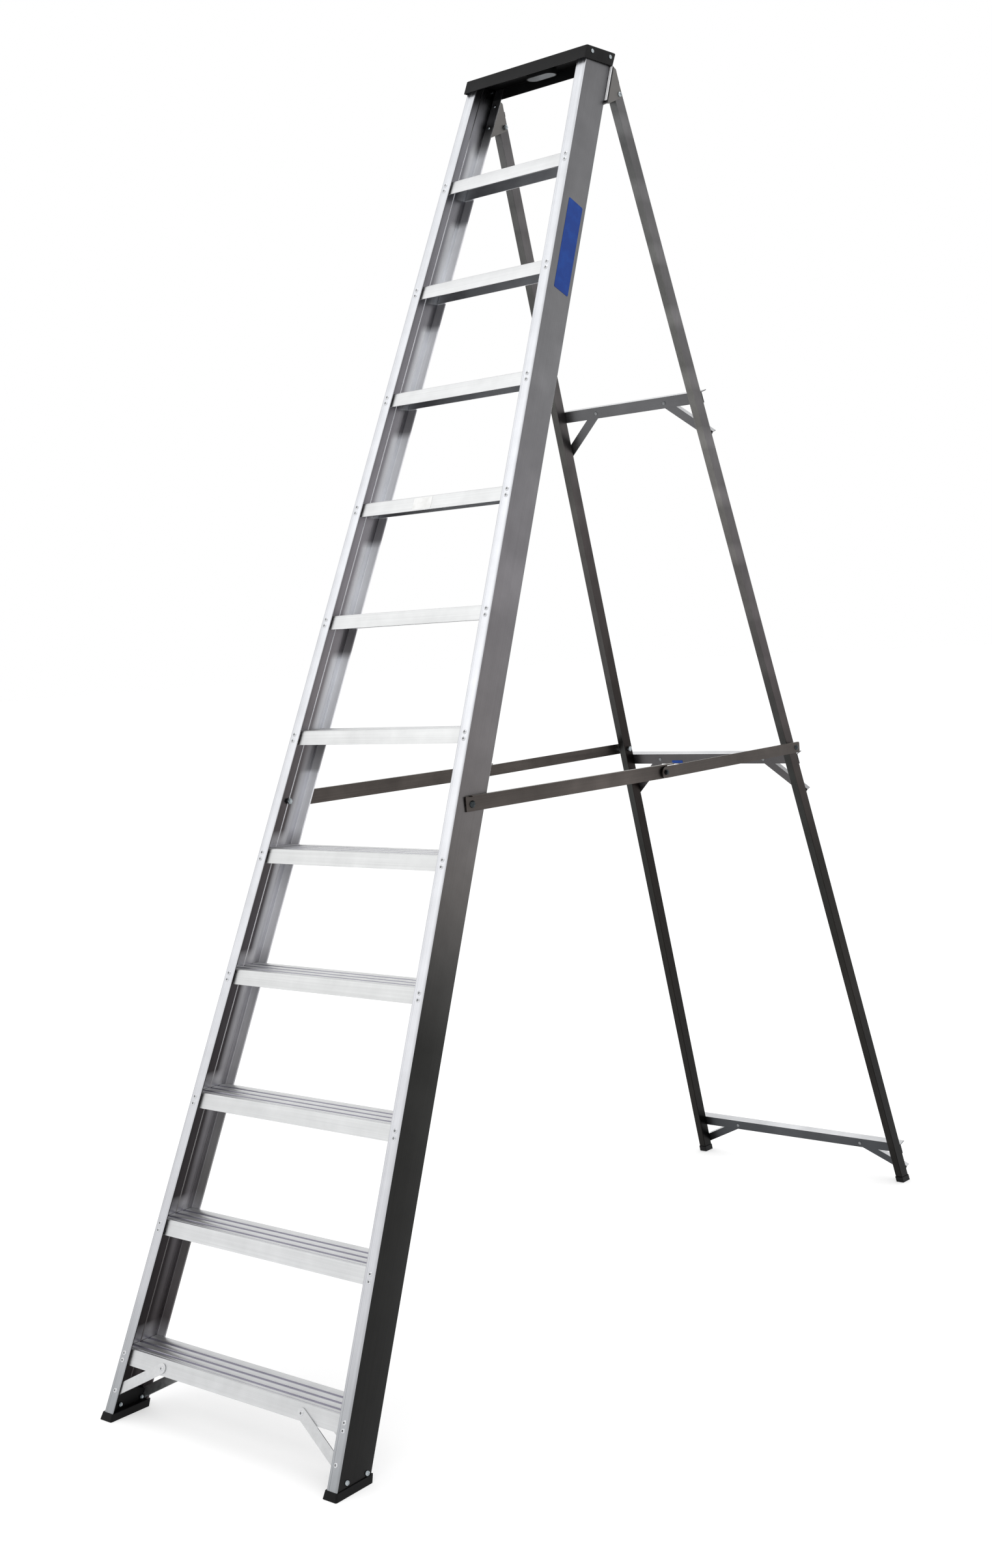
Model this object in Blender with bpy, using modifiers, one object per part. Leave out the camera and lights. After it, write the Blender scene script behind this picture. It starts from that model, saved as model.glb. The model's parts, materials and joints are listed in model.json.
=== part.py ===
"""Four-legged swing-back stepladder in aluminium: a front frame with eleven treads and a moulded
cap, a rear frame of two rectangular tubes hinged to it near the top, and a folding stay on each
side that locks the two frames apart.

Metres, +Z up. X is the width, -Y is the climbing side, and the origin is on the floor, in the
middle of the open ladder's footprint. Two tilted frames carry most pieces. In the front frame the
local axes are X, N (away from the climber, square to the front flanges) and S (up the slope from
the floor). In the rear frame they are X, N (square to the rear faces of the legs) and T (up the
leg, measured from the hinge).
"""

import math

import bmesh
import bpy
from mathutils import Matrix, Vector

# ---- driving dimensions ----------------------------------------------------------------------

LEAN = math.radians(23.28)          # front frame, from upright
REAR_LEAN = math.radians(16.69)     # rear frame, from upright
TAPER = math.radians(3.09)          # each stile and each leg leans inwards going up
GAP = 0.0003                        # between pieces that touch

HALF_WIDTH = 0.3213                 # outer face of a stile's web at the floor
STILE_DEPTH = 0.0773
STILE_FLANGE = 0.0256
STILE_WALL = 0.0024
STILE_LIP = 0.0032                  # thickness of the bead along each flange's tip
STILE_BOTTOM = 0.0042               # heights of the two level cuts that end a stile
STILE_TOP = 2.6442

TREAD_COUNT = 11
TREAD_PITCH = 0.25                  # along the slope
TREAD_FIRST = 0.1067                # lower front edge of the bottom tread, along the slope
TREAD_HEIGHT = 0.0279
TREAD_FRONT = 0.0058                # N of a tread's front face
TREAD_BACK = 0.0738                 # N of its back face
TREAD_SKIN = 0.0021
TREAD_GROOVE = 0.0016
# widths across the top of a tread from the front: rib, groove, rib, groove and so on
TREAD_PATTERN = (0.0030, 0.0015, 0.0065, 0.0075, 0.0120, 0.0075, 0.0120, 0.0075)

CAP_BOTTOM = 2.6195
CAP_TOP = 2.6480
CAP_FRONT = -0.0085
CAP_BACK = 0.0806
CAP_HALF = 0.1706
CAP_WALL = 0.0028
SLOT_BEHIND = 1.1830                # middle of the tool slot, behind the front feet
SLOT_HALF = 0.0210                  # from its middle to the centre of a round end
SLOT_RADIUS = 0.0140
SLOT_COLLAR = 0.0025
SLOT_COLLAR_LOW = 2.6250
CAP_SCREW_HEIGHT = 2.6365
CAP_SCREW_N = (0.0103, 0.0659)

SHOE_TOP = 0.0132                   # height of a front foot's band
SHOE_WALL = 0.0022
SHOE_FLARE = 0.0022
SHOE_FLOOR = 0.0038
INSERT_DEPTH = 0.0140               # how far the foot's insert stands out from the web
INSERT_FRONT = 0.0062
INSERT_BACK = 0.0692
INSERT_TOP = 0.0660                 # top of the insert, along the slope
SHOE_BOLTS = ((0.0196, 0.0318), (0.0654, 0.0482))   # N and S of the two bolts of a foot

BRACE_WIDTH = 0.0200
BRACE_SKIN = 0.0020
FRONT_BRACE_N = 0.0035              # plane of the front strips under the bottom tread
BACK_BRACE_N = 0.0702
BRACE_ON_TREAD = (0.193, 0.1200)    # X and S of a strip's two fixings
BRACE_ON_STILE = (0.304, 0.0570)

HINGE_N = 0.1131
HINGE_S = 2.8390
PAD_THICKNESS = 0.0030
BRACKET_SKIN = 0.0025
BRACKET_PLAY = 0.0010               # between a leg and the ears on both sides of it
BRACKET_LOW = 2.7970
BRACKET_HIGH = 2.8835

LEG_LENGTH = 2.6759                 # floor to hinge, along the leg's frame
LEG_HALF_TOP = 0.1619               # leg centre line at the hinge
LEG_WIDTH = 0.0183
LEG_DEPTH = 0.0294
LEG_WALL = 0.0016
LEG_ABOVE = 0.0220                  # tube above the hinge
PLUG_HIGH = 0.0120
PLUG_LOW = 0.0020
BOOT_TOP = 0.0140
BOOT_WALL = 0.0011

ANGLE_HEIGHT = 0.0255               # cross brace: face against the legs
ANGLE_DEPTH = 0.0200                # cross brace: flange that points backwards
ANGLE_SKIN = 0.0020
ANGLE_MIDDLE = 0.0137               # from its top edge down to the fixings in its face
CORNER_WIDTH = 0.0200
CORNER_DEPTH = 0.0120
# for each cross brace: top edge above the floor along the leg, X of the corner brace's fixing on
# it, and how far up the leg that corner brace ends
CROSS_BRACES = {
    "upper": (2.0360, 0.0985, 1.9400),
    "middle": (1.1670, 0.1540, 1.0710),
    "lower": (0.0980, 0.1896, 0.0270),
}

STAY_STILE = (0.0380, 1.2469)       # N and S of a stay's pivot on the stile
STAY_LEG = 1.1885                   # its pivot on the leg, above the floor along the leg
STAY_FRONT_LENGTH = 0.6082
STAY_OVER_CENTRE = 0.0040           # how far the middle pivot hangs below the line of the others
STAY_INNER_X = 0.2556               # inner face of the front bar
STAY_SKIN = 0.0025
STAY_ABOVE = 0.0168
STAY_BELOW = 0.0132
STAY_FLANGE = 0.0090
STAY_NOSE = 0.0168
STAY_NOTCH = 0.0115
STAY_TAIL = 0.0290
STAY_REAR_HALF = 0.0125
STAY_REAR_SKIN = 0.0030
STAY_REAR_TAIL = 0.0140
STAY_WASHER = 0.0028                # between the two bars
STAY_REAR_INNER_X = 0.2620          # inner face of the rear bar where it meets the leg

PIVOT_RADIUS = 0.0040
SCREW_RADIUS = 0.0024

# ---- frames worked out from them -------------------------------------------------------------

HINGE_Y = HINGE_N * math.cos(LEAN) + HINGE_S * math.sin(LEAN)
HINGE_Z = HINGE_S * math.cos(LEAN) - HINGE_N * math.sin(LEAN)
LEG_FOOT_Y = HINGE_Y + LEG_LENGTH * math.sin(REAR_LEAN)

ALUMINIUM = ("aluminium", (0.72, 0.73, 0.74, 1), 0.34, 1.0)
BROWN_ALUMINIUM = ("dull_aluminium", (0.30, 0.28, 0.27, 1), 0.42, 1.0)
BLACK_PLASTIC = ("black_plastic", (0.025, 0.026, 0.028, 1), 0.55, 0.0)
ZINC = ("zinc", (0.62, 0.64, 0.66, 1), 0.28, 1.0)


def half_width(s):
    """Distance from the middle to the outer face of a stile's web, at a place along the slope."""
    return HALF_WIDTH - s * math.tan(TAPER)


def leg_centre(t):
    """Distance from the middle to a leg's centre line, t above the hinge."""
    return LEG_HALF_TOP - t * math.tan(TAPER)


# ---- tools -----------------------------------------------------------------------------------


def clear_scene():
    for thing in list(bpy.data.objects):
        bpy.data.objects.remove(thing, do_unlink=True)


def collection(name):
    made = bpy.data.collections.new(name)
    bpy.context.scene.collection.children.link(made)
    return made


def material(kind):
    name, colour, roughness, metallic = kind
    found = bpy.data.materials.get(name)
    if found:
        return found
    made = bpy.data.materials.new(name)
    made.use_nodes = True
    shader = made.node_tree.nodes["Principled BSDF"]
    shader.inputs["Base Color"].default_value = colour
    shader.inputs["Roughness"].default_value = roughness
    shader.inputs["Metallic"].default_value = metallic
    return made


def empty(name, parent, location=(0, 0, 0), rotation=(0, 0, 0)):
    made = bpy.data.objects.new(name, None)
    made.empty_display_size = 0.05
    made.parent = parent
    made.location = location
    made.rotation_euler = rotation
    LADDER.objects.link(made)
    bpy.context.view_layer.update()
    return made


def rounded(corners, radius, steps=3):
    """The outline with its corners rounded. radius is one number, or one for each corner."""
    radii = radius if isinstance(radius, (list, tuple)) else [radius] * len(corners)
    ring = []
    for index, (corner, r) in enumerate(zip(corners, radii)):
        point = Vector(corner)
        if r == 0:
            ring.append(point)
            continue
        before = (Vector(corners[index - 1]) - point).normalized()
        after = (Vector(corners[(index + 1) % len(corners)]) - point).normalized()
        half = before.angle(after) / 2
        centre = point + (before + after).normalized() * r / math.sin(half)
        start = point + before * r / math.tan(half) - centre
        sweep = start.angle_signed(point + after * r / math.tan(half) - centre)
        for step in range(steps + 1):
            turn = Matrix.Rotation(-sweep * step / steps, 2)
            ring.append(centre + turn @ start)
    return ring


def circle(centre, radius, steps=12):
    turn = 2 * math.pi / steps
    return [
        (centre[0] + radius * math.cos(turn * k), centre[1] + radius * math.sin(turn * k))
        for k in range(steps)
    ]


def strip(start, end, half, steps=8):
    """A bar's outline with two round ends, between the centres of its ends."""
    along = (Vector(end) - Vector(start)).normalized()
    first = math.atan2(along.y, along.x) + math.pi / 2
    ring = []
    for centre, turn in ((start, first), (end, first + math.pi)):
        for step in range(steps + 1):
            angle = turn + math.pi * step / steps
            ring.append((centre[0] + half * math.cos(angle), centre[1] + half * math.sin(angle)))
    return ring


def mesh_object(name, mesh, kind, parent, group):
    made = bpy.data.objects.new(name, mesh)
    mesh.materials.append(material(kind))
    made.parent = parent
    group.objects.link(made)
    return made


def extruded(name, rings, low, high, axes, kind, parent, group=None):
    """A flat outline, with any holes after it, extruded from low to high. axes says which local
    axes the outline's two directions and the extrusion run along, such as "yzx"."""
    curve = bpy.data.curves.new(name, "CURVE")
    curve.dimensions = "2D"
    curve.fill_mode = "BOTH"
    curve.extrude = (high - low) / 2
    for ring in rings:
        spline = curve.splines.new("POLY")
        spline.points.add(len(ring) - 1)
        spline.use_cyclic_u = True
        for point, place in zip(spline.points, ring):
            point.co = (place[0], place[1], 0, 1)
    guide = bpy.data.objects.new(name + "_outline", curve)
    LADDER.objects.link(guide)
    evaluated = guide.evaluated_get(bpy.context.evaluated_depsgraph_get())
    mesh = bpy.data.meshes.new_from_object(evaluated)
    bpy.data.objects.remove(guide)
    turn = Matrix.Identity(4)
    for column, axis in enumerate(axes):
        for row in range(3):
            turn[row][column] = float("xyz"[row] == axis)
    mesh.transform(turn @ Matrix.Translation((0, 0, (low + high) / 2)))
    cage = bmesh.new()
    cage.from_mesh(mesh)
    bmesh.ops.remove_doubles(cage, verts=cage.verts, dist=1e-6)
    bmesh.ops.recalc_face_normals(cage, faces=cage.faces)
    cage.to_mesh(mesh)
    cage.free()
    return mesh_object(name, mesh, kind, parent, group or LADDER)


def turned(name, profile, kind, parent, location, direction, steps=16, group=None):
    """A turned piece. profile runs down its outer side as (radius, height), from the axis to the
    axis, and direction is 1 or -1: which way along X the top of the profile points."""
    mesh = bpy.data.meshes.new(name)
    points = [(r, 0, h) for r, h in profile]
    mesh.from_pydata(points, [(k, k + 1) for k in range(len(points) - 1)], [])
    made = mesh_object(name, mesh, kind, parent, group or LADDER)
    spin = made.modifiers.new("spin", "SCREW")
    spin.steps = steps
    spin.render_steps = steps
    spin.use_merge_vertices = True
    spin.merge_threshold = 1e-5
    made.location = location
    made.rotation_euler = (0, direction * math.pi / 2, 0)
    return made


def level_ends(thing, low=None, high=None):
    """Slides the points at either end of a prism along its Z axis onto level planes."""
    bpy.context.view_layer.update()
    world = thing.matrix_world
    middle = sum(v.co.z for v in thing.data.vertices) / len(thing.data.vertices)
    climb = (world.to_3x3() @ Vector((0, 0, 1))).z
    for vertex in thing.data.vertices:
        wanted = high if vertex.co.z > middle else low
        if wanted is not None:
            vertex.co.z += (wanted - (world @ vertex.co).z) / climb


def side_ends(thing, reach, gap=0.0):
    """Slides the points at either end of a piece that lies along X onto the tapering sides."""
    for vertex in thing.data.vertices:
        side = 1 if vertex.co.x > 0 else -1
        vertex.co.x = side * (reach(vertex.co.z) - gap)


def boolean(thing, other, operation):
    change = thing.modifiers.new(operation.lower(), "BOOLEAN")
    change.operation = operation
    change.object = other
    other.hide_render = True
    other.display_type = "WIRE"


def drill(thing, parent, location, radius=PIVOT_RADIUS + GAP, length=0.2):
    """A round hole along the parent's X axis."""
    name = f"{thing.name}_drill_{len(thing.modifiers)}"
    outline = [circle((0, 0), radius)]
    cutter = extruded(name, outline, -length / 2, length / 2, "yzx", ZINC, parent, CUTTERS)
    cutter.location = location
    boolean(thing, cutter, "DIFFERENCE")


# ---- front frame -----------------------------------------------------------------------------


def channel(side, grow=0.0, wall=STILE_WALL, lip=STILE_LIP, bead=True):
    """A stile's section: X from the web's outer face, N from the front flange."""
    edge = STILE_FLANGE + grow
    front, back = -grow, STILE_DEPTH + grow
    inner = wall + grow
    rib = STILE_DEPTH / 2
    corners = [(-grow, front), (edge, front)]
    radii = [0.0025, 0.0010]
    if bead:
        corners += [(edge, lip), (edge - 0.0030, lip), (edge - 0.0040, wall)]
        radii += [0.0010, 0, 0]
        corners += [(inner, wall), (inner, rib - 0.001), (inner + 0.0009, rib), (inner, rib + 0.001)]
        radii += [0, 0, 0, 0]
        corners += [(inner, back - wall), (edge - 0.0040, back - wall)]
        radii += [0, 0]
        corners += [(edge - 0.0030, back - lip), (edge, back - lip)]
        radii += [0, 0.0010]
    else:
        corners += [(edge, inner), (inner, inner), (inner, back - wall - grow)]
        corners += [(edge, back - wall - grow)]
        radii += [0, 0, 0, 0]
    corners += [(edge, back), (-grow, back)]
    radii += [0.0010, 0.0025]
    return [(-side * x, n) for x, n in rounded(corners, radii)]


def make_stile(name, side):
    stile = extruded(name, [channel(side)], 0.1, 2.7, "xyz", ALUMINIUM, SIDES[side])
    level_ends(stile, STILE_BOTTOM, STILE_TOP)
    for n, s in SHOE_BOLTS:
        drill(stile, FRONT, (side * HALF_WIDTH, n, s), SCREW_RADIUS + GAP, 0.06)
    for n in CAP_SCREW_N:
        drill(stile, FRONT, cap_screw_place(side, n), SCREW_RADIUS + GAP, 0.06)
    drill(stile, FRONT, (side * half_width(STAY_STILE[1]), *STAY_STILE), length=0.06)


def tread_outline():
    """A tread's section, Y and Z from its top front corner. Its two faces lie along the slope."""
    slope = math.tan(LEAN)
    depth = (TREAD_BACK - TREAD_FRONT) / math.cos(LEAN)
    skin = TREAD_SKIN / math.cos(LEAN)
    roof = TREAD_GROOVE + TREAD_SKIN
    ring = [(-TREAD_HEIGHT * slope, -TREAD_HEIGHT)]
    y = 0
    for index, width in enumerate(TREAD_PATTERN):
        level = 0 if index % 2 == 0 else -TREAD_GROOVE
        ring += [(y, level), (y + width, level)]
        y += width
    ring += [(y, 0), (depth, 0)]
    ring += [(depth - TREAD_HEIGHT * slope, -TREAD_HEIGHT)]
    ring += [(depth - TREAD_HEIGHT * slope - skin, -TREAD_HEIGHT)]
    ring += [(depth - roof * slope - skin, -roof), (-roof * slope + skin, -roof)]
    ring += [(-TREAD_HEIGHT * slope + skin, -TREAD_HEIGHT)]
    return ring


def make_tread(name, number):
    """number counts up from 0 at the bottom."""
    edge = TREAD_FIRST + number * TREAD_PITCH
    top = edge + TREAD_HEIGHT / math.cos(LEAN)
    reach = half_width(edge)
    tread = extruded(name, [tread_outline()], -reach, reach, "yzx", ALUMINIUM, FRONT)
    turn = Matrix.Rotation(LEAN, 4, "X")
    tread.data.transform(Matrix.Translation((0, TREAD_FRONT, top)) @ turn)
    side_ends(tread, half_width, STILE_WALL + 0.0011)


def make_bottom_brace(name, side, n):
    ends = [(side * x, s) for x, s in (BRACE_ON_TREAD, BRACE_ON_STILE)]
    outline = strip(*ends, BRACE_WIDTH / 2)
    extruded(name, [outline], n, n + BRACE_SKIN, "xzy", ALUMINIUM, FRONT)


def make_front_foot(name, side):
    """A shoe round the stile's end, and an insert inside the channel that the bolts hold."""
    wall = SHOE_WALL + GAP
    outer = [(-wall, -wall), (STILE_FLANGE + wall, -wall)]
    outer += [(STILE_FLANGE + wall, STILE_DEPTH + wall), (-wall, STILE_DEPTH + wall)]
    outline = [(-side * x, n) for x, n in rounded(outer, 0.003)]
    shoe = extruded(name, [outline], 0.01, 0.05, "xyz", BLACK_PLASTIC, SIDES[side])
    middle = -side * STILE_FLANGE / 2
    for vertex in shoe.data.vertices:
        if vertex.co.z < 0.03:
            vertex.co.x += math.copysign(SHOE_FLARE, vertex.co.x - middle)
    level_ends(shoe, 0, SHOE_TOP)
    socket_outline = channel(side, GAP, STILE_LIP, bead=False)
    socket = extruded(name + "_socket", [socket_outline], 0.01, 0.3, "xyz", ZINC, SIDES[side], CUTTERS)
    level_ends(socket, SHOE_FLOOR, None)
    inner = STILE_WALL + 0.0015
    plate = [(inner, INSERT_FRONT), (INSERT_DEPTH, INSERT_FRONT), (INSERT_DEPTH, INSERT_BACK)]
    plate += [(inner, INSERT_BACK)]
    outline = [(-side * x, n) for x, n in plate]
    insert = extruded(name + "_insert", [outline], 0.01, INSERT_TOP, "xyz", ZINC, SIDES[side], CUTTERS)
    level_ends(insert, SHOE_FLOOR / 2, None)
    boolean(shoe, socket, "DIFFERENCE")
    boolean(shoe, insert, "UNION")
    for n, s in SHOE_BOLTS:
        drill(shoe, FRONT, (side * HALF_WIDTH, n, s), SCREW_RADIUS + GAP, 0.08)


def pan_screw(head, head_height, shank, length, nut, nut_height):
    """Profile of a screw with a domed head on top and a nut at its lower end. 0 is under the head."""
    profile = [(0, head_height), (head * 0.55, head_height * 0.9), (head * 0.9, head_height * 0.5)]
    profile += [(head, 0), (shank, 0), (shank, -length)]
    if nut:
        profile += [(nut, -length), (nut, -length - nut_height)]
        profile += [(shank, -length - nut_height), (shank, -length - nut_height - 0.002)]
        length += nut_height + 0.002
    return profile + [(0, -length)]


def make_shoe_bolt(name, side, n, s):
    profile = pan_screw(0.0050, 0.0032, SCREW_RADIUS, INSERT_DEPTH + 0.0016, 0.0038, 0.0032)
    seat = half_width(s) + 0.0005
    turned(name, profile, ZINC, FRONT, (side * seat, n, s), side, 12)


def cap_screw_place(side, n):
    s = (CAP_SCREW_HEIGHT + n * math.sin(LEAN)) / math.cos(LEAN)
    return (side * CAP_HALF, n, s)


def make_cap():
    """A shell, open underneath, that drops over the ends of both stiles, with a slot for tools."""
    tilt = math.sin(LEAN)
    level = math.cos(LEAN)

    def box(bottom, top, front, back):
        return [(n, (z + n * tilt) / level) for n, z in (
            (front, bottom), (front, top), (back, top), (back, bottom))]

    outline = rounded(box(CAP_BOTTOM, CAP_TOP, CAP_FRONT, CAP_BACK), [0, 0.004, 0.004, 0])
    cap = extruded("top_cap", [outline], -CAP_HALF, CAP_HALF, "yzx", BLACK_PLASTIC, FRONT)
    inside = box(CAP_BOTTOM - 0.02, CAP_TOP - CAP_WALL, CAP_FRONT + CAP_WALL, CAP_BACK - CAP_WALL)
    half = CAP_HALF - CAP_WALL
    hollow = extruded("top_cap_hollow", [inside], -half, half, "yzx", ZINC, FRONT, CUTTERS)
    boolean(cap, hollow, "DIFFERENCE")
    ends = ((-SLOT_HALF, SLOT_BEHIND), (SLOT_HALF, SLOT_BEHIND))
    outline = strip(*ends, SLOT_RADIUS + SLOT_COLLAR)
    high = CAP_TOP - CAP_WALL / 2
    collar = extruded("top_cap_collar", [outline], SLOT_COLLAR_LOW, high, "xyz", ZINC, ROOT, CUTTERS)
    boolean(cap, collar, "UNION")
    outline = strip(*ends, SLOT_RADIUS)
    slot = extruded("top_cap_slot", [outline], CAP_BOTTOM, CAP_TOP + 0.01, "xyz", ZINC, ROOT, CUTTERS)
    boolean(cap, slot, "DIFFERENCE")
    for side in (-1, 1):
        for n in CAP_SCREW_N:
            drill(cap, FRONT, cap_screw_place(side, n), SCREW_RADIUS + GAP, 0.02)


def make_cap_screw(name, side, n):
    place = Vector(cap_screw_place(side, n)) + Vector((side * GAP, 0, 0))
    profile = pan_screw(0.0042, 0.0022, SCREW_RADIUS, 0.012, 0, 0)
    turned(name, profile, ZINC, FRONT, place, side, 12)


def bracket_places():
    """X of the outer and inner face of the bracket's two ears, from the leg's centre line."""
    near = LEG_WIDTH / 2 + BRACKET_PLAY
    return near, near + BRACKET_SKIN


def make_hinge_bracket(name, side):
    """A base plate behind the stile and two ears, one on each side of the leg."""
    near, far = bracket_places()
    base = STILE_DEPTH + PAD_THICKNESS + 2 * GAP
    ear = [(base, BRACKET_LOW), (base, BRACKET_HIGH), (base + 0.008, BRACKET_HIGH)]
    ear += [(HINGE_N + 0.0104, HINGE_S - 0.001), (base + 0.004, BRACKET_LOW)]
    ear = [(n, s - HINGE_S) for n, s in rounded(ear, [0, 0, 0.004, 0.006, 0])]
    frame = HINGES[side]
    bracket = extruded(name, [ear], -far, far, "yzx", ALUMINIUM, frame)
    low = BRACKET_LOW - HINGE_S - 0.01
    high = BRACKET_HIGH - HINGE_S + 0.01
    clear = base + BRACKET_SKIN
    between = [(clear, low), (clear, high), (clear + 0.1, high), (clear + 0.1, low)]
    throat = extruded(name + "_throat", [between], -near, near, "yzx", ZINC, frame, CUTTERS)
    boolean(bracket, throat, "DIFFERENCE")
    drill(bracket, FRONT, (side * LEG_HALF_TOP, HINGE_N, HINGE_S), length=0.06)


def make_hinge_pad(name, side):
    near, far = bracket_places()
    low = BRACKET_LOW - HINGE_S - 0.0006
    high = BRACKET_HIGH - HINGE_S + 0.0006
    front = STILE_DEPTH + GAP
    outline = [(front, low), (front, high), (front + PAD_THICKNESS, high), (front + PAD_THICKNESS, low)]
    extruded(name, [outline], -far, far, "yzx", BLACK_PLASTIC, HINGES[side])


def make_hinge_bolt(name, side):
    near, far = bracket_places()
    seat = far + 0.0005
    profile = pan_screw(0.0052, 0.0034, PIVOT_RADIUS, 2 * seat, 0.0060, 0.0045)
    place = (side * (LEG_HALF_TOP + seat), HINGE_N, HINGE_S)
    turned(name, profile, ZINC, FRONT, place, side)


def make_stay_stile_bolt(name, side):
    """Holds the front bar: a domed head outside it and a nut inside the channel."""
    seat = STAY_INNER_X + STAY_SKIN + 0.0004
    inside = half_width(STAY_STILE[1]) - STILE_WALL - 0.0016
    profile = pan_screw(0.0070, 0.0042, PIVOT_RADIUS, seat - inside, 0.0065, 0.0050)
    turned(name, profile, ZINC, FRONT, (side * seat, *STAY_STILE), side)


# ---- rear frame ------------------------------------------------------------------------------


def box_outline(width, depth, radius):
    x, n = width / 2, depth / 2
    return rounded([(-x, -n), (x, -n), (x, n), (-x, n)], radius)


def make_leg(name, side):
    rings = [box_outline(LEG_WIDTH, LEG_DEPTH, 0.0015)]
    rings += [box_outline(LEG_WIDTH - 2 * LEG_WALL, LEG_DEPTH - 2 * LEG_WALL, 0.0005)]
    leg = extruded(name, rings, -LEG_LENGTH, LEG_ABOVE, "xyz", BROWN_ALUMINIUM, LEGS[side])
    level_ends(leg, SHOE_FLOOR, None)
    drill(leg, REAR, (side * LEG_HALF_TOP, 0, 0), length=0.06)
    down = STAY_LEG - LEG_LENGTH
    drill(leg, REAR, (side * leg_centre(down), 0, down), length=0.06)


def make_leg_plug(name, side):
    """Closes the tube's upper end: a stub inside it and a head cut down towards the stile."""
    back, front = LEG_DEPTH / 2, -LEG_DEPTH / 2
    base = LEG_ABOVE + GAP
    head = [(front, base), (back, base), (back, base + PLUG_HIGH - 0.002), (back - 0.003, base + PLUG_HIGH)]
    head += [(front + 0.004, base + PLUG_LOW), (front, base + PLUG_LOW - 0.001)]
    x = LEG_WIDTH / 2
    plug = extruded(name, [head], -x, x, "yzx", BLACK_PLASTIC, LEGS[side])
    inside = LEG_WALL + GAP
    outline = box_outline(LEG_WIDTH - 2 * inside, LEG_DEPTH - 2 * inside, 0.0005)
    stub = extruded(name + "_stub", [outline], 0.008, base + 0.001, "xyz", ZINC, LEGS[side], CUTTERS)
    boolean(plug, stub, "UNION")


def make_rear_foot(name, side):
    wall = BOOT_WALL + GAP
    outline = box_outline(LEG_WIDTH + 2 * wall, LEG_DEPTH + 2 * wall, 0.002)
    boot = extruded(name, [outline], -LEG_LENGTH, 0.05 - LEG_LENGTH, "xyz", BLACK_PLASTIC, LEGS[side])
    level_ends(boot, 0, BOOT_TOP)
    outline = box_outline(LEG_WIDTH + 2 * GAP, LEG_DEPTH + 2 * GAP, 0.001)
    low = -LEG_LENGTH
    socket = extruded(name + "_socket", [outline], low, low + 0.3, "xyz", ZINC, LEGS[side], CUTTERS)
    level_ends(socket, SHOE_FLOOR - GAP, None)
    boolean(boot, socket, "DIFFERENCE")


def make_cross_brace(name, top):
    """An angle across the rear faces of both legs, its flange on top and pointing backwards."""
    back = LEG_DEPTH / 2 + GAP
    high = top - LEG_LENGTH
    low = high - ANGLE_HEIGHT
    outline = [(back, low), (back, high), (back + ANGLE_DEPTH, high)]
    outline += [(back + ANGLE_DEPTH, high - ANGLE_SKIN), (back + ANGLE_SKIN, high - ANGLE_SKIN)]
    outline += [(back + ANGLE_SKIN, low)]
    reach = leg_centre(low)
    brace = extruded(name, [outline], -reach, reach, "yzx", BROWN_ALUMINIUM, REAR)
    side_ends(brace, leg_centre, -LEG_WIDTH / 2)


def make_corner_brace(name, side, top, x, foot):
    """A small angle from the cross brace down to the leg, its flange along its upper edge."""
    start = Vector((x, top - ANGLE_MIDDLE - LEG_LENGTH))
    end = Vector((leg_centre(foot - LEG_LENGTH), foot - LEG_LENGTH))
    along = end - start
    face = LEG_DEPTH / 2 + 2 * GAP + ANGLE_SKIN
    half = CORNER_WIDTH / 2
    outline = [(-half, 0), (half, 0), (half, CORNER_DEPTH), (half - ANGLE_SKIN, CORNER_DEPTH)]
    outline += [(half - ANGLE_SKIN, ANGLE_SKIN), (-half, ANGLE_SKIN)]
    reach = (-0.0045, along.length + 0.006)
    brace = extruded(name, [outline], *reach, "zyx", BROWN_ALUMINIUM, REAR)
    fall = Matrix.Rotation(math.atan2(-along.y, along.x), 4, "Y")
    brace.data.transform(Matrix.Translation((start.x, face, start.y)) @ fall)
    if side < 0:
        mirrored = Matrix.Scale(-1, 4, (1, 0, 0))
        brace.data.transform(mirrored)
        brace.data.flip_normals()


def make_stay_leg_stud(name, side):
    """Fixed in the leg: a nut inside, and outside a collar that the rear bar lies against."""
    down = STAY_LEG - LEG_LENGTH
    outer = leg_centre(down) + LEG_WIDTH / 2 + 0.0009
    inner = leg_centre(down) - LEG_WIDTH / 2 - 0.0009
    collar = STAY_REAR_INNER_X - GAP
    profile = [(0, 0), (0.0075, 0), (0.0075, outer - collar), (PIVOT_RADIUS, outer - collar)]
    profile += [(PIVOT_RADIUS, inner - collar), (0.0062, inner - collar)]
    profile += [(0.0062, inner - collar - 0.005), (0, inner - collar - 0.005)]
    turned(name, profile, ZINC, REAR, (side * collar, 0, down), side)


# ---- stays -----------------------------------------------------------------------------------


def stay_points():
    """The stay's three pivots as (y, z) from the origin empty: stile, middle and leg."""
    n, s = STAY_STILE
    stile = Vector((n * math.cos(LEAN) + s * math.sin(LEAN), s * math.cos(LEAN) - n * math.sin(LEAN)))
    leg = Vector((LEG_FOOT_Y - STAY_LEG * math.sin(REAR_LEAN), STAY_LEG * math.cos(REAR_LEAN)))
    along = (leg - stile).normalized()
    down = Vector((along.y, -along.x))
    reach = math.sqrt(STAY_FRONT_LENGTH**2 - STAY_OVER_CENTRE**2)
    middle = stile + along * reach + down * STAY_OVER_CENTRE
    return stile, middle, leg


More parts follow.
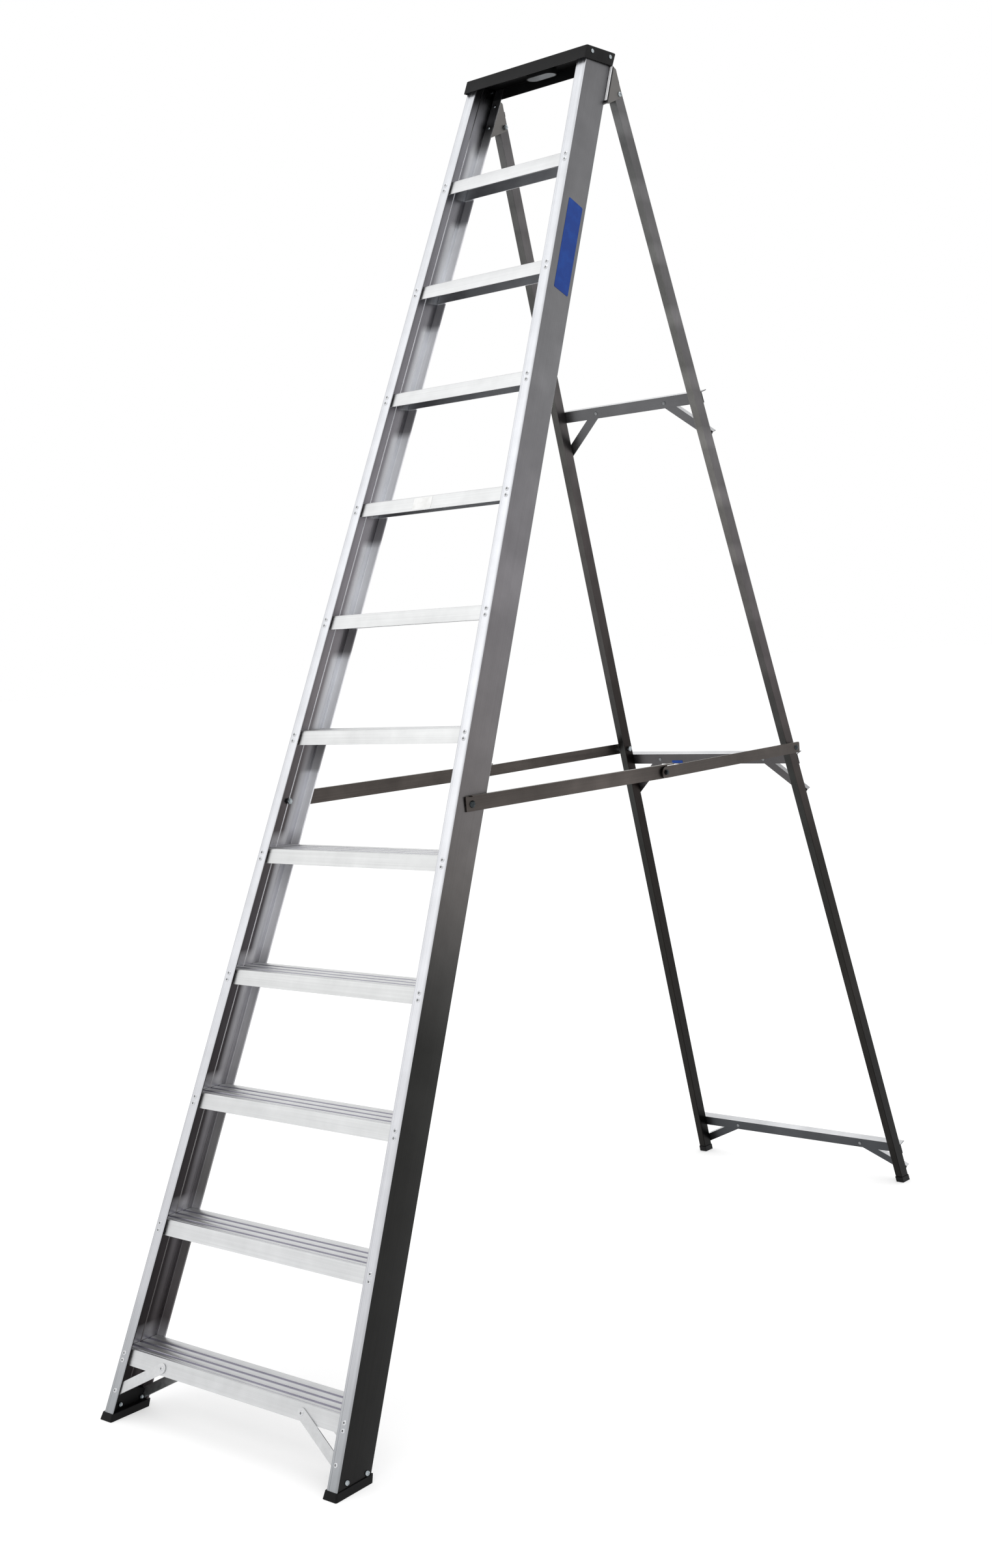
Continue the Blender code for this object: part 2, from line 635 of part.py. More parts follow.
def make_front_bar(name, side, frame, length):
    """A bar with a narrow flange on top, which points outwards and runs on past the middle pivot
    to rest on the rear bar."""
    x = side * STAY_INNER_X
    skin = side * STAY_SKIN
    top, low = STAY_ABOVE, -STAY_BELOW
    face = [(-STAY_NOSE, low), (length + 0.008, low), (length + 0.0125, low + 0.005)]
    face += [(length + 0.0125, top - 0.001), (-STAY_NOSE, top - 0.001)]
    bar = extruded(name, [face], min(0, skin), max(0, skin), "yzx", BROWN_ALUMINIUM, frame)
    bar.data.transform(Matrix.Translation((x, 0, 0)))
    ledge = [(0, top - STAY_SKIN), (0, top), (side * STAY_FLANGE, top)]
    ledge += [(side * STAY_FLANGE, top - STAY_SKIN)]
    ledge = [(x + u, v) for u, v in ledge]
    start = STAY_NOTCH - STAY_NOSE
    flange = extruded(name + "_flange", [ledge], start, length + STAY_TAIL, "xzy", ZINC, frame, CUTTERS)
    boolean(bar, flange, "UNION")
    drill(bar, frame, (x, 0, 0), length=0.06)
    drill(bar, frame, (x, length, 0), length=0.06)


def make_rear_bar(name, side, frame, length):
    """A flat bar that runs inwards from the middle joint to the leg."""
    half = STAY_REAR_HALF
    outline = strip((0, 0), (length, 0), half)
    rounded_end = len(outline) // 2
    tail = length + STAY_REAR_TAIL
    outline = outline[:rounded_end]
    outline += rounded([(length, -half), (tail, -half), (tail, half), (length, half)], [0, 0.004, 0.004, 0])
    inner = STAY_INNER_X + STAY_SKIN + STAY_WASHER
    ends = sorted((side * inner, side * (inner + STAY_REAR_SKIN)))
    hole = circle((0, 0), PIVOT_RADIUS + GAP)
    bar = extruded(name, [outline, hole], *ends, "yzx", BROWN_ALUMINIUM, frame)
    drift = (STAY_REAR_INNER_X - inner) / length
    for vertex in bar.data.vertices:
        vertex.co.x += side * drift * vertex.co.y


def make_stay_mid_bolt(name, side, frame, length):
    """Joins the two bars: a head outside, a washer between them and a nut inside."""
    inner = STAY_INNER_X - 0.0004
    between = STAY_INNER_X + STAY_SKIN + 0.0004
    seat = STAY_INNER_X + STAY_SKIN + STAY_WASHER + STAY_REAR_SKIN + 0.0006
    washer = between + STAY_WASHER - 0.0010
    profile = [(0, 0.0046), (0.0046, 0.0040), (0.0062, 0.0014), (0.0062, 0), (PIVOT_RADIUS, 0)]
    profile += [(PIVOT_RADIUS, washer - seat), (0.0080, washer - seat), (0.0080, between - seat)]
    profile += [(PIVOT_RADIUS, between - seat), (PIVOT_RADIUS, inner - seat), (0.0062, inner - seat)]
    profile += [(0.0062, inner - seat - 0.0045), (0, inner - seat - 0.0045)]
    turned(name, profile, ZINC, frame, (side * seat, length, 0), side)


def make_stay(word, side):
    stile, middle, leg = stay_points()
    first = middle - stile
    second = leg - middle
    tilt = math.atan2(first.y, first.x)
    front = empty(f"stay_front_{word}", ROOT, (0, stile.x, stile.y), (tilt, 0, 0))
    bend = math.atan2(second.y, second.x) - tilt
    rear = empty(f"stay_rear_{word}", front, (0, first.length, 0), (bend, 0, 0))
    make_front_bar(f"stay_front_bar_{word}", side, front, first.length)
    make_stay_mid_bolt(f"stay_mid_bolt_{word}", side, front, first.length)
    make_rear_bar(f"stay_rear_bar_{word}", side, rear, second.length)


# ---- assembly --------------------------------------------------------------------------------


def make_front_frame():
    for number in range(TREAD_COUNT):
        make_tread(f"tread_{TREAD_COUNT - number:02d}", number)
    make_cap()
    for word, side in WORDS:
        make_stile(f"stile_{word}", side)
        make_front_foot(f"foot_front_{word}", side)
        for place, (n, s) in zip(("front", "rear"), SHOE_BOLTS):
            make_shoe_bolt(f"foot_bolt_{place}_{word}", side, n, s)
        for place, n in zip(("front", "rear"), CAP_SCREW_N):
            make_cap_screw(f"cap_screw_{place}_{word}", side, n)
        make_bottom_brace(f"bottom_brace_front_{word}", side, FRONT_BRACE_N)
        make_bottom_brace(f"bottom_brace_rear_{word}", side, BACK_BRACE_N)
        make_hinge_bracket(f"hinge_bracket_{word}", side)
        make_hinge_pad(f"hinge_pad_{word}", side)
        make_hinge_bolt(f"hinge_bolt_{word}", side)
        make_stay_stile_bolt(f"stay_stile_bolt_{word}", side)


def make_rear_frame():
    for word, side in WORDS:
        make_leg(f"rear_leg_{word}", side)
        make_leg_plug(f"rear_leg_plug_{word}", side)
        make_rear_foot(f"foot_rear_{word}", side)
        make_stay_leg_stud(f"stay_leg_stud_{word}", side)
    for height, (top, x, foot) in CROSS_BRACES.items():
        make_cross_brace(f"cross_brace_{height}", top)
        for word, side in WORDS:
            make_corner_brace(f"corner_brace_{height}_{word}", side, top, x, foot)


def centre_on_the_footprint():
    """Moves the whole ladder along Y, so that its bounding box is centred on the origin."""
    bpy.context.view_layer.update()
    graph = bpy.context.evaluated_depsgraph_get()
    reach = []
    for thing in LADDER.objects:
        if thing.type == "MESH":
            solid = thing.evaluated_get(graph)
            reach += [(solid.matrix_world @ vertex.co).y for vertex in solid.data.vertices]
    ROOT.location.y = -(min(reach) + max(reach)) / 2


def shade_round_pieces():
    for thing in LADDER.objects:
        if thing.type == "MESH" and thing.modifiers and thing.modifiers[0].type == "SCREW":
            smooth = thing.modifiers[0]
            smooth.use_smooth_shade = True


clear_scene()
LADDER = collection("stepladder")
CUTTERS = collection("cutters")
CUTTERS.hide_render = True
WORDS = (("left", -1), ("right", 1))
ROOT = empty("stepladder_origin", None)
FRONT = empty("front_frame", ROOT, rotation=(-LEAN, 0, 0))
REAR = empty("rear_frame", ROOT, (0, HINGE_Y, HINGE_Z), (REAR_LEAN, 0, 0))
SIDES = {}
LEGS = {}
HINGES = {}
for word, side in WORDS:
    tilt = (0, -side * TAPER, 0)
    SIDES[side] = empty(f"stile_line_{word}", FRONT, (side * HALF_WIDTH, 0, 0), tilt)
    LEGS[side] = empty(f"leg_line_{word}", REAR, (side * LEG_HALF_TOP, 0, 0), tilt)
    HINGES[side] = empty(f"hinge_line_{word}", FRONT, (side * LEG_HALF_TOP, 0, HINGE_S), tilt)
make_front_frame()
make_rear_frame()
for word, side in WORDS:
    make_stay(word, side)
shade_round_pieces()
centre_on_the_footprint()
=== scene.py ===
"""The looks of a four-legged aluminium swing-back stepladder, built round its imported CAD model.

Metres, +Z up, -Y is the climbing side. Pieces are made in the same tilted frames that the ladder
itself has. In the front frame the axes are X, N (away from the climber, square to the front
flanges) and S (up the slope from the floor). In the rear frame they are X, N (square to the rear
faces of the legs) and T (up the leg, measured from the hinge).
"""

import json
import math

import bmesh
import bpy
from mathutils import Matrix, Vector


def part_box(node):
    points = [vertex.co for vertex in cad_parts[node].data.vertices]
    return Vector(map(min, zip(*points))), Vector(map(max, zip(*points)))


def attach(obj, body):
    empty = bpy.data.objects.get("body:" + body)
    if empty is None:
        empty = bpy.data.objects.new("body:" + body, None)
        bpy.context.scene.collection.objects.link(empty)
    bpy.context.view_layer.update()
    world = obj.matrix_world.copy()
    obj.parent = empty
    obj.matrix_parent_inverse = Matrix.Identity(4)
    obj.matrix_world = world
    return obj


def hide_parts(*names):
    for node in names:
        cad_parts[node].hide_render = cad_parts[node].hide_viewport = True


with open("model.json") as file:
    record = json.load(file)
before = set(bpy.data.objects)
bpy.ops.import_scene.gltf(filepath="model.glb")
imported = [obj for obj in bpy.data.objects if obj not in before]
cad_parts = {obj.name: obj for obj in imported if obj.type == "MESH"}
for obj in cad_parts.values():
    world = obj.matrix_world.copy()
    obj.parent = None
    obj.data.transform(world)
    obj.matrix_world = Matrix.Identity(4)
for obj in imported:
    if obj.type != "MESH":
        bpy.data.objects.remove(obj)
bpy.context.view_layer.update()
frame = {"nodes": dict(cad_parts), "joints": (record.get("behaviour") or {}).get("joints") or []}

# ---- driving dimensions ----------------------------------------------------------------------

LEAN = math.radians(23.28)          # of the front frame, from upright
REAR_LEAN = math.radians(16.69)
TAPER = math.radians(3.09)          # of each stile and leg, towards the middle
SIDES = (("left", -1), ("right", 1))
PIVOTS = {joint["name"]: Vector(joint["pos_m"]) for joint in frame["joints"]}

HALF_WIDTH = 0.3213                 # outer face of a stile's web at the floor
STILE_DEPTH = 0.0773
STILE_FLANGE = 0.0256
STILE_WALL = 0.0024
STILE_LIP = 0.0032                  # how thick the edge of a flange is
FLANGE_LINES = (0.0078, 0.0196)     # a fine line along each flange, from the web's outer face
STILE_BOTTOM = 0.0042               # above the floor, as the top is
STILE_TOP = 2.6442

TREAD_COUNT = 11
TREAD_PITCH = 0.25                  # up the slope
TREAD_FIRST = 0.1067                # S of the lowest one's lower edge
TREAD_HEIGHT = 0.0279
TREAD_FRONT = 0.0058                # N of its front face
TREAD_BACK = 0.0738
TREAD_SKIN = 0.0021
TREAD_GROOVE = 0.0016
FINE_GROOVE = 0.0009                # the depth of the narrow one along the nose
GROOVES = ((0.0046, 0.0062), (0.0125, 0.0195), (0.0315, 0.0385), (0.0505, 0.0575))  # from the nose
TREAD_GAP = 0.0011                  # between a tread's end and the web

CAP_BOTTOM = 2.6195                 # above the floor, as the top is
CAP_TOP = 2.6480
CAP_FRONT = -0.0085                 # N of its front face
CAP_BACK = 0.0806
CAP_HALF = 0.1706
CAP_WALL = 0.0028
CAP_CORNER = 0.0045
CAP_RIM = 0.0028                    # the bevel round its top
SLOT_BEHIND = 1.1830                # middle of the tool slot, behind the foot line
SLOT_HALF = 0.0210                  # from its middle to the centre of a round end
SLOT_RADIUS = 0.0140
SLOT_COLLAR = 0.0025
COLLAR_BOTTOM = 2.6290

HINGE_N = 0.1131
HINGE_S = 2.8390
LEG_LENGTH = 2.6759                 # from the hinge to its lower end
LEG_HALF_TOP = 0.1619               # from the middle to its centre line, level with the hinge
LEG_DEPTH = 0.0294
BRACKET_HALF = 0.0127               # from a leg's centre line to the edge of its hinge bracket
BRACKET_LOW = 2.8010                # S of the bracket's base where it shows beside the stile
BRACKET_HIGH = 2.8830
BRACKET_RIVETS = (2.8150, 2.8690)   # S of the two in each bracket

# Each cross brace's top edge, its inner rivets' X, and the foot of its corner braces. Heights are
# up the leg from its lower end.
CROSS_BRACES = {"upper": (2.0360, 0.0985, 1.9400), "middle": (1.1670, 0.1540, 1.0710),
                "lower": (0.0980, 0.1896, 0.0270)}
ANGLE_MIDDLE = 0.0137               # from a brace's top edge down to its rivets
ANGLE_SKIN = 0.0020
GAP = 0.0003                        # between things that are fixed together

STRIP_TREAD_RIVET = (0.193, 0.120)  # X and S, where a bottom strip meets the lowest tread
STRIP_STILE_RIVET = (0.304, 0.057)  # X and S, where it meets the stile
STRIP_FRONT = 0.0035                # N of the rivets' seats on the tread, front and back
STRIP_BACK = 0.0722

RIVET_RADIUS = 0.0046
RIVET_INSET = 0.0113                # from the web's outer face to the middle of a tread's rivets
RIVET_LEVELS = (0.0073, 0.0208)     # up the slope from a tread's lower edge
REAR_RIVET_RISE = 0.0120            # how much higher they are at the back
DOME_RADIUS = 0.0046
SHANK_RADIUS = 0.0038
WASHER_SEAT = 0.0030                # a stay's washer starts this far inside its rear bar
STUD_SEAT = 0.2651                  # X of the seat of the rivet at a stay's rear end

FILM = 0.0003                       # the thickness of a label
LABEL_GAP = 0.0001                  # between a label and what it is on
SIDE_LABEL = ((0.021, 2.335), (0.066, 2.540))           # N and S of two opposite corners
TREAD_LABEL = ((-0.049, 0.0022), (0.002, 0.0282))       # X, and S above the tread's lower edge
BRACE_LABEL = ((-0.118, -0.0235), (-0.086, -0.0165))    # X, and T above the brace's top edge
LABELLED_TREAD = 7                  # counts up from 0 at the bottom

# ---- frames ----------------------------------------------------------------------------------

HINGE = PIVOTS["rear_frame_hinge"]
FOOT_LINE = HINGE.y - HINGE_N * math.cos(LEAN) - HINGE_S * math.sin(LEAN)
FRONT = Matrix.Translation((0, FOOT_LINE, 0)) @ Matrix.Rotation(-LEAN, 4, "X")
REAR = Matrix.Translation((0, HINGE.y, HINGE.z)) @ Matrix.Rotation(REAR_LEAN, 4, "X")


def stile_frame(side):
    place = Matrix.Translation((side * HALF_WIDTH, 0, 0))
    return FRONT @ place @ Matrix.Rotation(-side * TAPER, 4, "Y")


def half_width(s):
    """Distance from the middle to the outer face of a stile's web, at a place along the slope."""
    return HALF_WIDTH - s * math.tan(TAPER)


def leg_centre(t):
    """Distance from the middle to a leg's centre line, t above the hinge."""
    return LEG_HALF_TOP - t * math.tan(TAPER)


# ---- materials -------------------------------------------------------------------------------


def colour_of(text):
    """A colour written as #rrggbb, as the linear values that a shader takes."""
    values = [int(text[k:k + 2], 16) / 255 for k in (1, 3, 5)]
    return [v / 12.92 if v <= 0.04045 else ((v + 0.055) / 1.055) ** 2.4 for v in values] + [1]


class Nodes:
    """A material's node tree, with a short way to add and join nodes."""

    def __init__(self, name):
        self.material = bpy.data.materials.new(name)
        self.material.use_nodes = True
        self.tree = self.material.node_tree
        self.shader = self.tree.nodes["Principled BSDF"]

    def add(self, kind, inputs=(), **settings):
        node = self.tree.nodes.new("ShaderNode" + kind)
        for key, value in settings.items():
            setattr(node, key, value)
        for key, value in dict(inputs).items():
            self.join(value, node.inputs[key])
        return node

    def join(self, value, socket):
        if isinstance(value, bpy.types.NodeSocket):
            self.tree.links.new(value, socket)
        else:
            socket.default_value = value

    def maths(self, operation, *values):
        return self.add("Math", dict(enumerate(values)), operation=operation).outputs[0]

    def part(self, output, axis):
        """One part of the piece's own coordinates, such as the "X" of its "Normal"."""
        place = self.add("TexCoord").outputs[output]
        return self.add("SeparateXYZ", {"Vector": place}).outputs[axis]

    def scaled_noise(self, scale, detail):
        place = self.add("TexCoord").outputs["Object"]
        mapping = self.add("Mapping", {"Vector": place, "Scale": scale}).outputs[0]
        spread = {"Vector": mapping, "Scale": 1.0, "Detail": detail, "Roughness": 0.55}
        return self.add("TexNoise", spread).outputs["Fac"]

    def ranged(self, value, low, high, start=0.3, stop=0.7):
        """Low to high as the value goes from start to stop. Most of a noise is in 0.3 to 0.7."""
        limits = {"From Min": start, "From Max": stop, "To Min": low, "To Max": high}
        return self.add("MapRange", {"Value": value, **limits}).outputs[0]

    def blend(self, amount, first, second, kind="MIX"):
        """Two colours mixed. The node takes them in sockets 6 and 7, and gives the mix in 2."""
        inputs = {0: amount, 6: first, 7: second}
        return self.add("Mix", inputs, data_type="RGBA", blend_type=kind).outputs[2]

    def times(self, colour, value):
        return self.blend(1.0, colour, value, "MULTIPLY")

    def varied(self, colour, noise, share):
        """The colour made darker or paler by up to a share of itself, as the noise goes."""
        return self.times(colour, self.ranged(noise, 1 - share, 1 + share))

    def ramp(self, value, stops):
        node = self.add("ValToRGB", {"Fac": value})
        points = node.color_ramp.elements
        while len(points) < len(stops):
            points.new(0.5)
        for point, (place, text) in zip(points, stops):
            point.position = place
            point.color = colour_of(text)
        return node.outputs["Color"]

    def climb(self):
        """0 at the floor and 1 at RAMP_SPAN, along the piece's own Z axis."""
        return self.ranged(self.part("Object", "Z"), 0, 1, 0, RAMP_SPAN)

    def surface(self, colour, rough, grain=None, strength=0.12, distance=0.0004):
        """The material, with its colour, its roughness and its grain's bump joined to it."""
        self.join(colour, self.shader.inputs["Base Color"])
        self.join(rough, self.shader.inputs["Roughness"])
        if grain is not None:
            bump = self.add("Bump", {"Height": grain, "Strength": strength, "Distance": distance})
            self.join(bump.outputs[0], self.shader.inputs["Normal"])
        return self.material


def painted_glint_bands(nodes, share):
    """A factor of painted glints on a leg: paler by a share of itself at even steps up its upper
    half.
    """
    height = nodes.part("Object", "Z")
    wave = nodes.maths("SINE", nodes.maths("MULTIPLY", height, 2 * math.pi / GLINT_PITCH))
    pale = nodes.ranged(wave, 0, share, 0.3, 0.95)
    upper = nodes.ranged(height, 0, 1, *GLINT_START)
    return nodes.maths("ADD", nodes.maths("MULTIPLY", pale, upper), 1.0)


def metal(name, stops, grain, roughness=0.36, metallic=1.0, streaks=0.05, smudges=0.06,
          glint_patches=0.0, glint_bands=0.0, shaded_sides=None, lit_top=None, edges=None):
    """Drawn aluminium. stops colours it from the floor up, painted light and shade included, and
    shaded_sides is the painted shade on what faces along X. grain is how fine its lines are along
    each axis, glint_patches is how much paler its scattered painted glints are, glint_bands is how
    much paler its painted glints are at even steps up its upper half, and lit_top is the painted
    light on what faces up. edges is a factor of painted shade across a flange, from the web's outer
    face to its edge."""
    nodes = Nodes(name)
    climb = nodes.climb()
    colour = nodes.ramp(climb, stops)
    # painted shade on what faces along X
    if shaded_sides:
        across = nodes.maths("ABSOLUTE", nodes.part("Normal", "X"))
        colour = nodes.blend(nodes.ranged(across, 0, 1, 0.6, 0.8), colour, nodes.ramp(climb, shaded_sides))
    # painted light on what faces up
    if lit_top:
        upward = nodes.ranged(nodes.part("Normal", "Z"), 0, 1, 0.6, 0.85)
        colour = nodes.blend(upward, colour, colour_of(lit_top))
    # painted shade along a flange's edges
    if edges:
        depth = nodes.maths("ABSOLUTE", nodes.part("Object", "X"))
        colour = nodes.times(colour, nodes.ramp(nodes.ranged(depth, 0, 1, 0, STILE_FLANGE), edges))
    # painted glints in even bands up a leg
    if glint_bands:
        colour = nodes.times(colour, painted_glint_bands(nodes, glint_bands))
    lines = nodes.scaled_noise(grain, 3)
    colour = nodes.varied(colour, lines, streaks)
    colour = nodes.varied(colour, nodes.scaled_noise(CLOUDS, 4), smudges)
    colour = nodes.varied(colour, nodes.scaled_noise(BLOTCHES, 2), smudges / 2)
    # scattered painted glints, and in the plastic the rubbed places
    if glint_patches:
        wear_and_glint = nodes.scaled_noise(GLINT_PATCHES, 2)
        colour = nodes.times(colour, nodes.ranged(wear_and_glint, 1 - glint_patches / 4, 1 + glint_patches, 0.52, 0.7))
    nodes.shader.inputs["Metallic"].default_value = metallic
    return nodes.surface(colour, nodes.ranged(lines, roughness - 0.06, roughness + 0.06), lines)


def inside_metal(name, pale, metallic, roughness):
    """The inside of a stile, with its light and shade painted on: painted shade in front of the rib
    and a paler painted reflection at the back. Just below each of the upper treads it takes the
    tread's painted shade, and just above each lower one a paler painted reflection of the tread.
    The treads are level, so in the stile's tilted frame their undersides climb towards the back."""
    nodes = Nodes(name)
    climb = nodes.climb()
    back = nodes.part("Object", "Y")
    depth = nodes.ranged(back, 0, 1, STILE_DEPTH * 0.58, STILE_DEPTH * 0.86)
    up = nodes.maths("SUBTRACT", nodes.part("Object", "Z"), TREAD_FIRST)
    level = nodes.maths("SUBTRACT", up, nodes.maths("MULTIPLY", back, math.tan(LEAN)))
    above_tread = nodes.maths("FLOORED_MODULO", level, TREAD_PITCH)
    shade = nodes.ranged(above_tread, 1, 0.12, TREAD_PITCH * 0.73, TREAD_PITCH * 0.80)
    lower = nodes.ranged(climb, 1, 0, 0.42, 0.5)
    amount = nodes.maths("MULTIPLY", depth, nodes.maths("MAXIMUM", shade, lower))
    colour = nodes.blend(amount, nodes.ramp(climb, INNER_FRONT), nodes.ramp(climb, pale))
    # painted shade just behind the front flange
    colour = nodes.times(colour, nodes.ranged(back, 0.55, 1, 0.010, 0.030))
    # a painted reflection of each lower tread, just above it
    near = nodes.ranged(above_tread, 0.9, 0, TREAD_HEIGHT / math.cos(LEAN), 0.064)
    tread_reflection = nodes.maths("MULTIPLY", near, lower)
    colour = nodes.blend(tread_reflection, colour, nodes.ramp(climb, TREAD_REFLECTION_STOPS))
    lines = nodes.scaled_noise(ALONG_S, 3)
    colour = nodes.varied(colour, lines, 0.06)
    colour = nodes.varied(colour, nodes.scaled_noise(CLOUDS, 4), 0.07)
    nodes.shader.inputs["Metallic"].default_value = metallic
    return nodes.surface(colour, nodes.ranged(lines, roughness - 0.05, roughness + 0.05), lines)


def moulding(name, text, roughness, size=900.0, specular=0.3, under=None, ends=None):
    """Moulded plastic with a fine spark-eroded grain and a few dull rubbed places. under is the
    colour of the painted shade on what faces down, and ends of the painted shade on what faces
    along X."""
    nodes = Nodes(name)
    wear_and_glint = nodes.scaled_noise((18, 18, 18), 3)
    grain = nodes.scaled_noise((size, size, size), 2)
    colour = nodes.times(colour_of(text), nodes.ranged(wear_and_glint, 0.8, 1.25))
    # painted shade on what faces down
    if under:
        downward = nodes.ranged(nodes.part("Normal", "Z"), 1, 0, -0.9, -0.4)
        colour = nodes.blend(downward, colour, colour_of(under))
    # painted shade on what faces along X
    if ends:
        across = nodes.maths("ABSOLUTE", nodes.part("Normal", "X"))
        colour = nodes.blend(nodes.ranged(across, 0, 1, 0.5, 0.9), colour, colour_of(ends))
    nodes.shader.inputs["Specular IOR Level"].default_value = specular
    rough = nodes.ranged(wear_and_glint, roughness - 0.07, roughness + 0.09)
    return nodes.surface(colour, rough, grain, 0.18, 0.0002)


def plated(name, text, dark, roughness=0.24):
    """Zinc plate, a little cloudy."""
    nodes = Nodes(name)
    cloud = nodes.scaled_noise((260, 260, 260), 3)
    colour = nodes.blend(nodes.ranged(cloud, 0, 0.7), colour_of(text), colour_of(dark))
    nodes.shader.inputs["Metallic"].default_value = 1.0
    return nodes.surface(colour, nodes.ranged(cloud, roughness - 0.05, roughness + 0.12))


def printed(name, text, faded):
    """A stuck-on film: its colour, worn paler in places, under a thin gloss."""
    nodes = Nodes(name)
    worn = nodes.scaled_noise((40, 40, 40), 4)
    colour = nodes.blend(nodes.ranged(worn, 0, 1, 0.45, 0.8), colour_of(text), colour_of(faded))
    nodes.shader.inputs["Specular IOR Level"].default_value = 0.12
    return nodes.surface(colour, nodes.ranged(worn, 0.32, 0.5))


RAMP_SPAN = 2.9                     # what a ramp of colours covers, from the floor up
# The spacing of the painted glints up a leg.
GLINT_PITCH = 0.13
GLINT_START = (1.0, 1.6)             # above the floor, where the painted glints on a leg come in

# How fine a noise is along X, Y and Z. The grain of drawn metal is coarse the way it was drawn.
ALONG_X = (3, 420, 420)
ALONG_Y = (420, 3, 420)
ALONG_S = (420, 420, 3)
ALL_WAYS = (160, 160, 160)
CLOUDS = (9, 9, 9)
BLOTCHES = (34, 34, 34)
# the size of the scattered painted glints on metal
GLINT_PATCHES = (5, 5, 5)

# Colours from the floor up, each with its share of RAMP_SPAN. They hold painted light and shade,
# and most are darker towards the floor. FLANGE_EDGE_SHADE goes across a flange, painted shade at
# its edges.

TREAD_STOPS = ((0.03, "#d0d1d2"), (0.12, "#d8d9da"), (0.3, "#dfe0e0"), (0.5, "#e4e5e5"),
               (1.0, "#e2e3e4"))
# Painted shade in a tread's grooves.
GROOVE_SHADE_STOPS = ((0.0, "#a5a3b0"), (0.5, "#b5b4be"), (1.0, "#bdbdc5"))
FLANGE_STOPS = ((0.0, "#9fa2a5"), (0.1, "#cbccd0"), (0.28, "#e0e1e5"), (1.0, "#e4e6ea"))
FLANGE_EDGE_SHADE = ((0.0, "#e6e6e6"), (0.14, "#f4f4f4"), (0.26, "#ffffff"), (0.86, "#ffffff"),
                (0.95, "#f1f1f1"), (1.0, "#e8e8e8"))
# Painted shade on a tread's underside.
HOLLOW_SHADE_STOPS = ((0.0, "#8a8a8b"), (0.5, "#98999b"), (1.0, "#a4a5a8"))
WEB_STOPS = ((0.0, "#292929"), (0.27, "#2e2e2d"), (0.32, "#454443"), (0.38, "#656261"),
             (0.47, "#737071"), (0.6, "#7a787b"), (0.75, "#777779"), (1.0, "#6c6c6e"))
# The inside ramps end in painted shade just under the cap.
INNER_FRONT = ((0.05, "#2b2829"), (0.25, "#363335"), (0.34, "#444144"), (0.42, "#4d494a"),
               (0.51, "#736f72"), (0.62, "#807d82"), (0.965, "#7f7f84"), (0.985, "#48484a"))
TREAD_REFLECTION_STOPS = ((0.0, "#a5a4a8"), (1.0, "#c0c0c4"))
INNER_REAR = ((0.05, "#5d5859"), (0.17, "#8a888c"), (0.25, "#b6b5b9"), (0.33, "#d3d4d8"),
              (0.42, "#d8d9de"), (0.51, "#eceef2"), (0.945, "#f3f5f8"), (0.957, "#8f8f92"),
              (0.972, "#2c2c2e"))
FOLD_STOPS = ((0.05, "#5c5658"), (0.17, "#8c8a8a"), (0.25, "#b5b4b7"), (0.34, "#dedee2"),
              (0.5, "#eff0f4"), (0.945, "#f0f1f5"), (0.957, "#88888a"), (0.972, "#29292b"))
# The legs' ramps hold painted light and shade. LEG_SIDE_SHADE and LEFT_LEG_SIDE_SHADE are the
# painted shade on what faces along X, and the left leg's ramps are the same metal with the light
# and shade painted as they fall on that leg.
LEG_STOPS = ((0.0, "#262524"), (0.2, "#2c2b29"), (0.36, "#353635"), (0.45, "#454443"),
             (0.53, "#5f5d5c"), (0.62, "#6d6c6a"), (0.72, "#686866"), (1.0, "#595a5c"))
LEG_SIDE_SHADE = ((0.0, "#070606"), (0.12, "#0d0b0a"), (0.2, "#1a1613"), (0.3, "#181512"),
             (0.37, "#3b3533"), (0.46, "#514c4d"), (0.62, "#636162"), (1.0, "#616162"))
LEFT_LEG_STOPS = ((0.0, "#262524"), (0.2, "#2c2b29"), (0.36, "#353635"), (0.45, "#454443"),
                  (0.53, "#4d4b4a"), (0.72, "#4f4f4d"), (0.88, "#5e5e5e"), (1.0, "#5e5f61"))
LEFT_LEG_SIDE_SHADE = ((0.0, "#070606"), (0.2, "#16120f"), (0.37, "#1d1816"), (0.45, "#2f2a28"),
                  (0.56, "#454040"), (0.68, "#545151"), (0.85, "#636162"), (1.0, "#616162"))
BRACE_STOPS = ((0.0, "#494b4e"), (0.4, "#565455"), (0.8, "#6a6b6d"), (1.0, "#6c6d6f"))
STAY_STOPS = ((0.0, "#4f4a47"), (1.0, "#544e4b"))
LIP_STOPS = ((0.0, "#f0f0f2"), (1.0, "#f2f2f4"))
EAR_STOPS = ((0.0, "#6d6b69"), (1.0, "#72706e"))

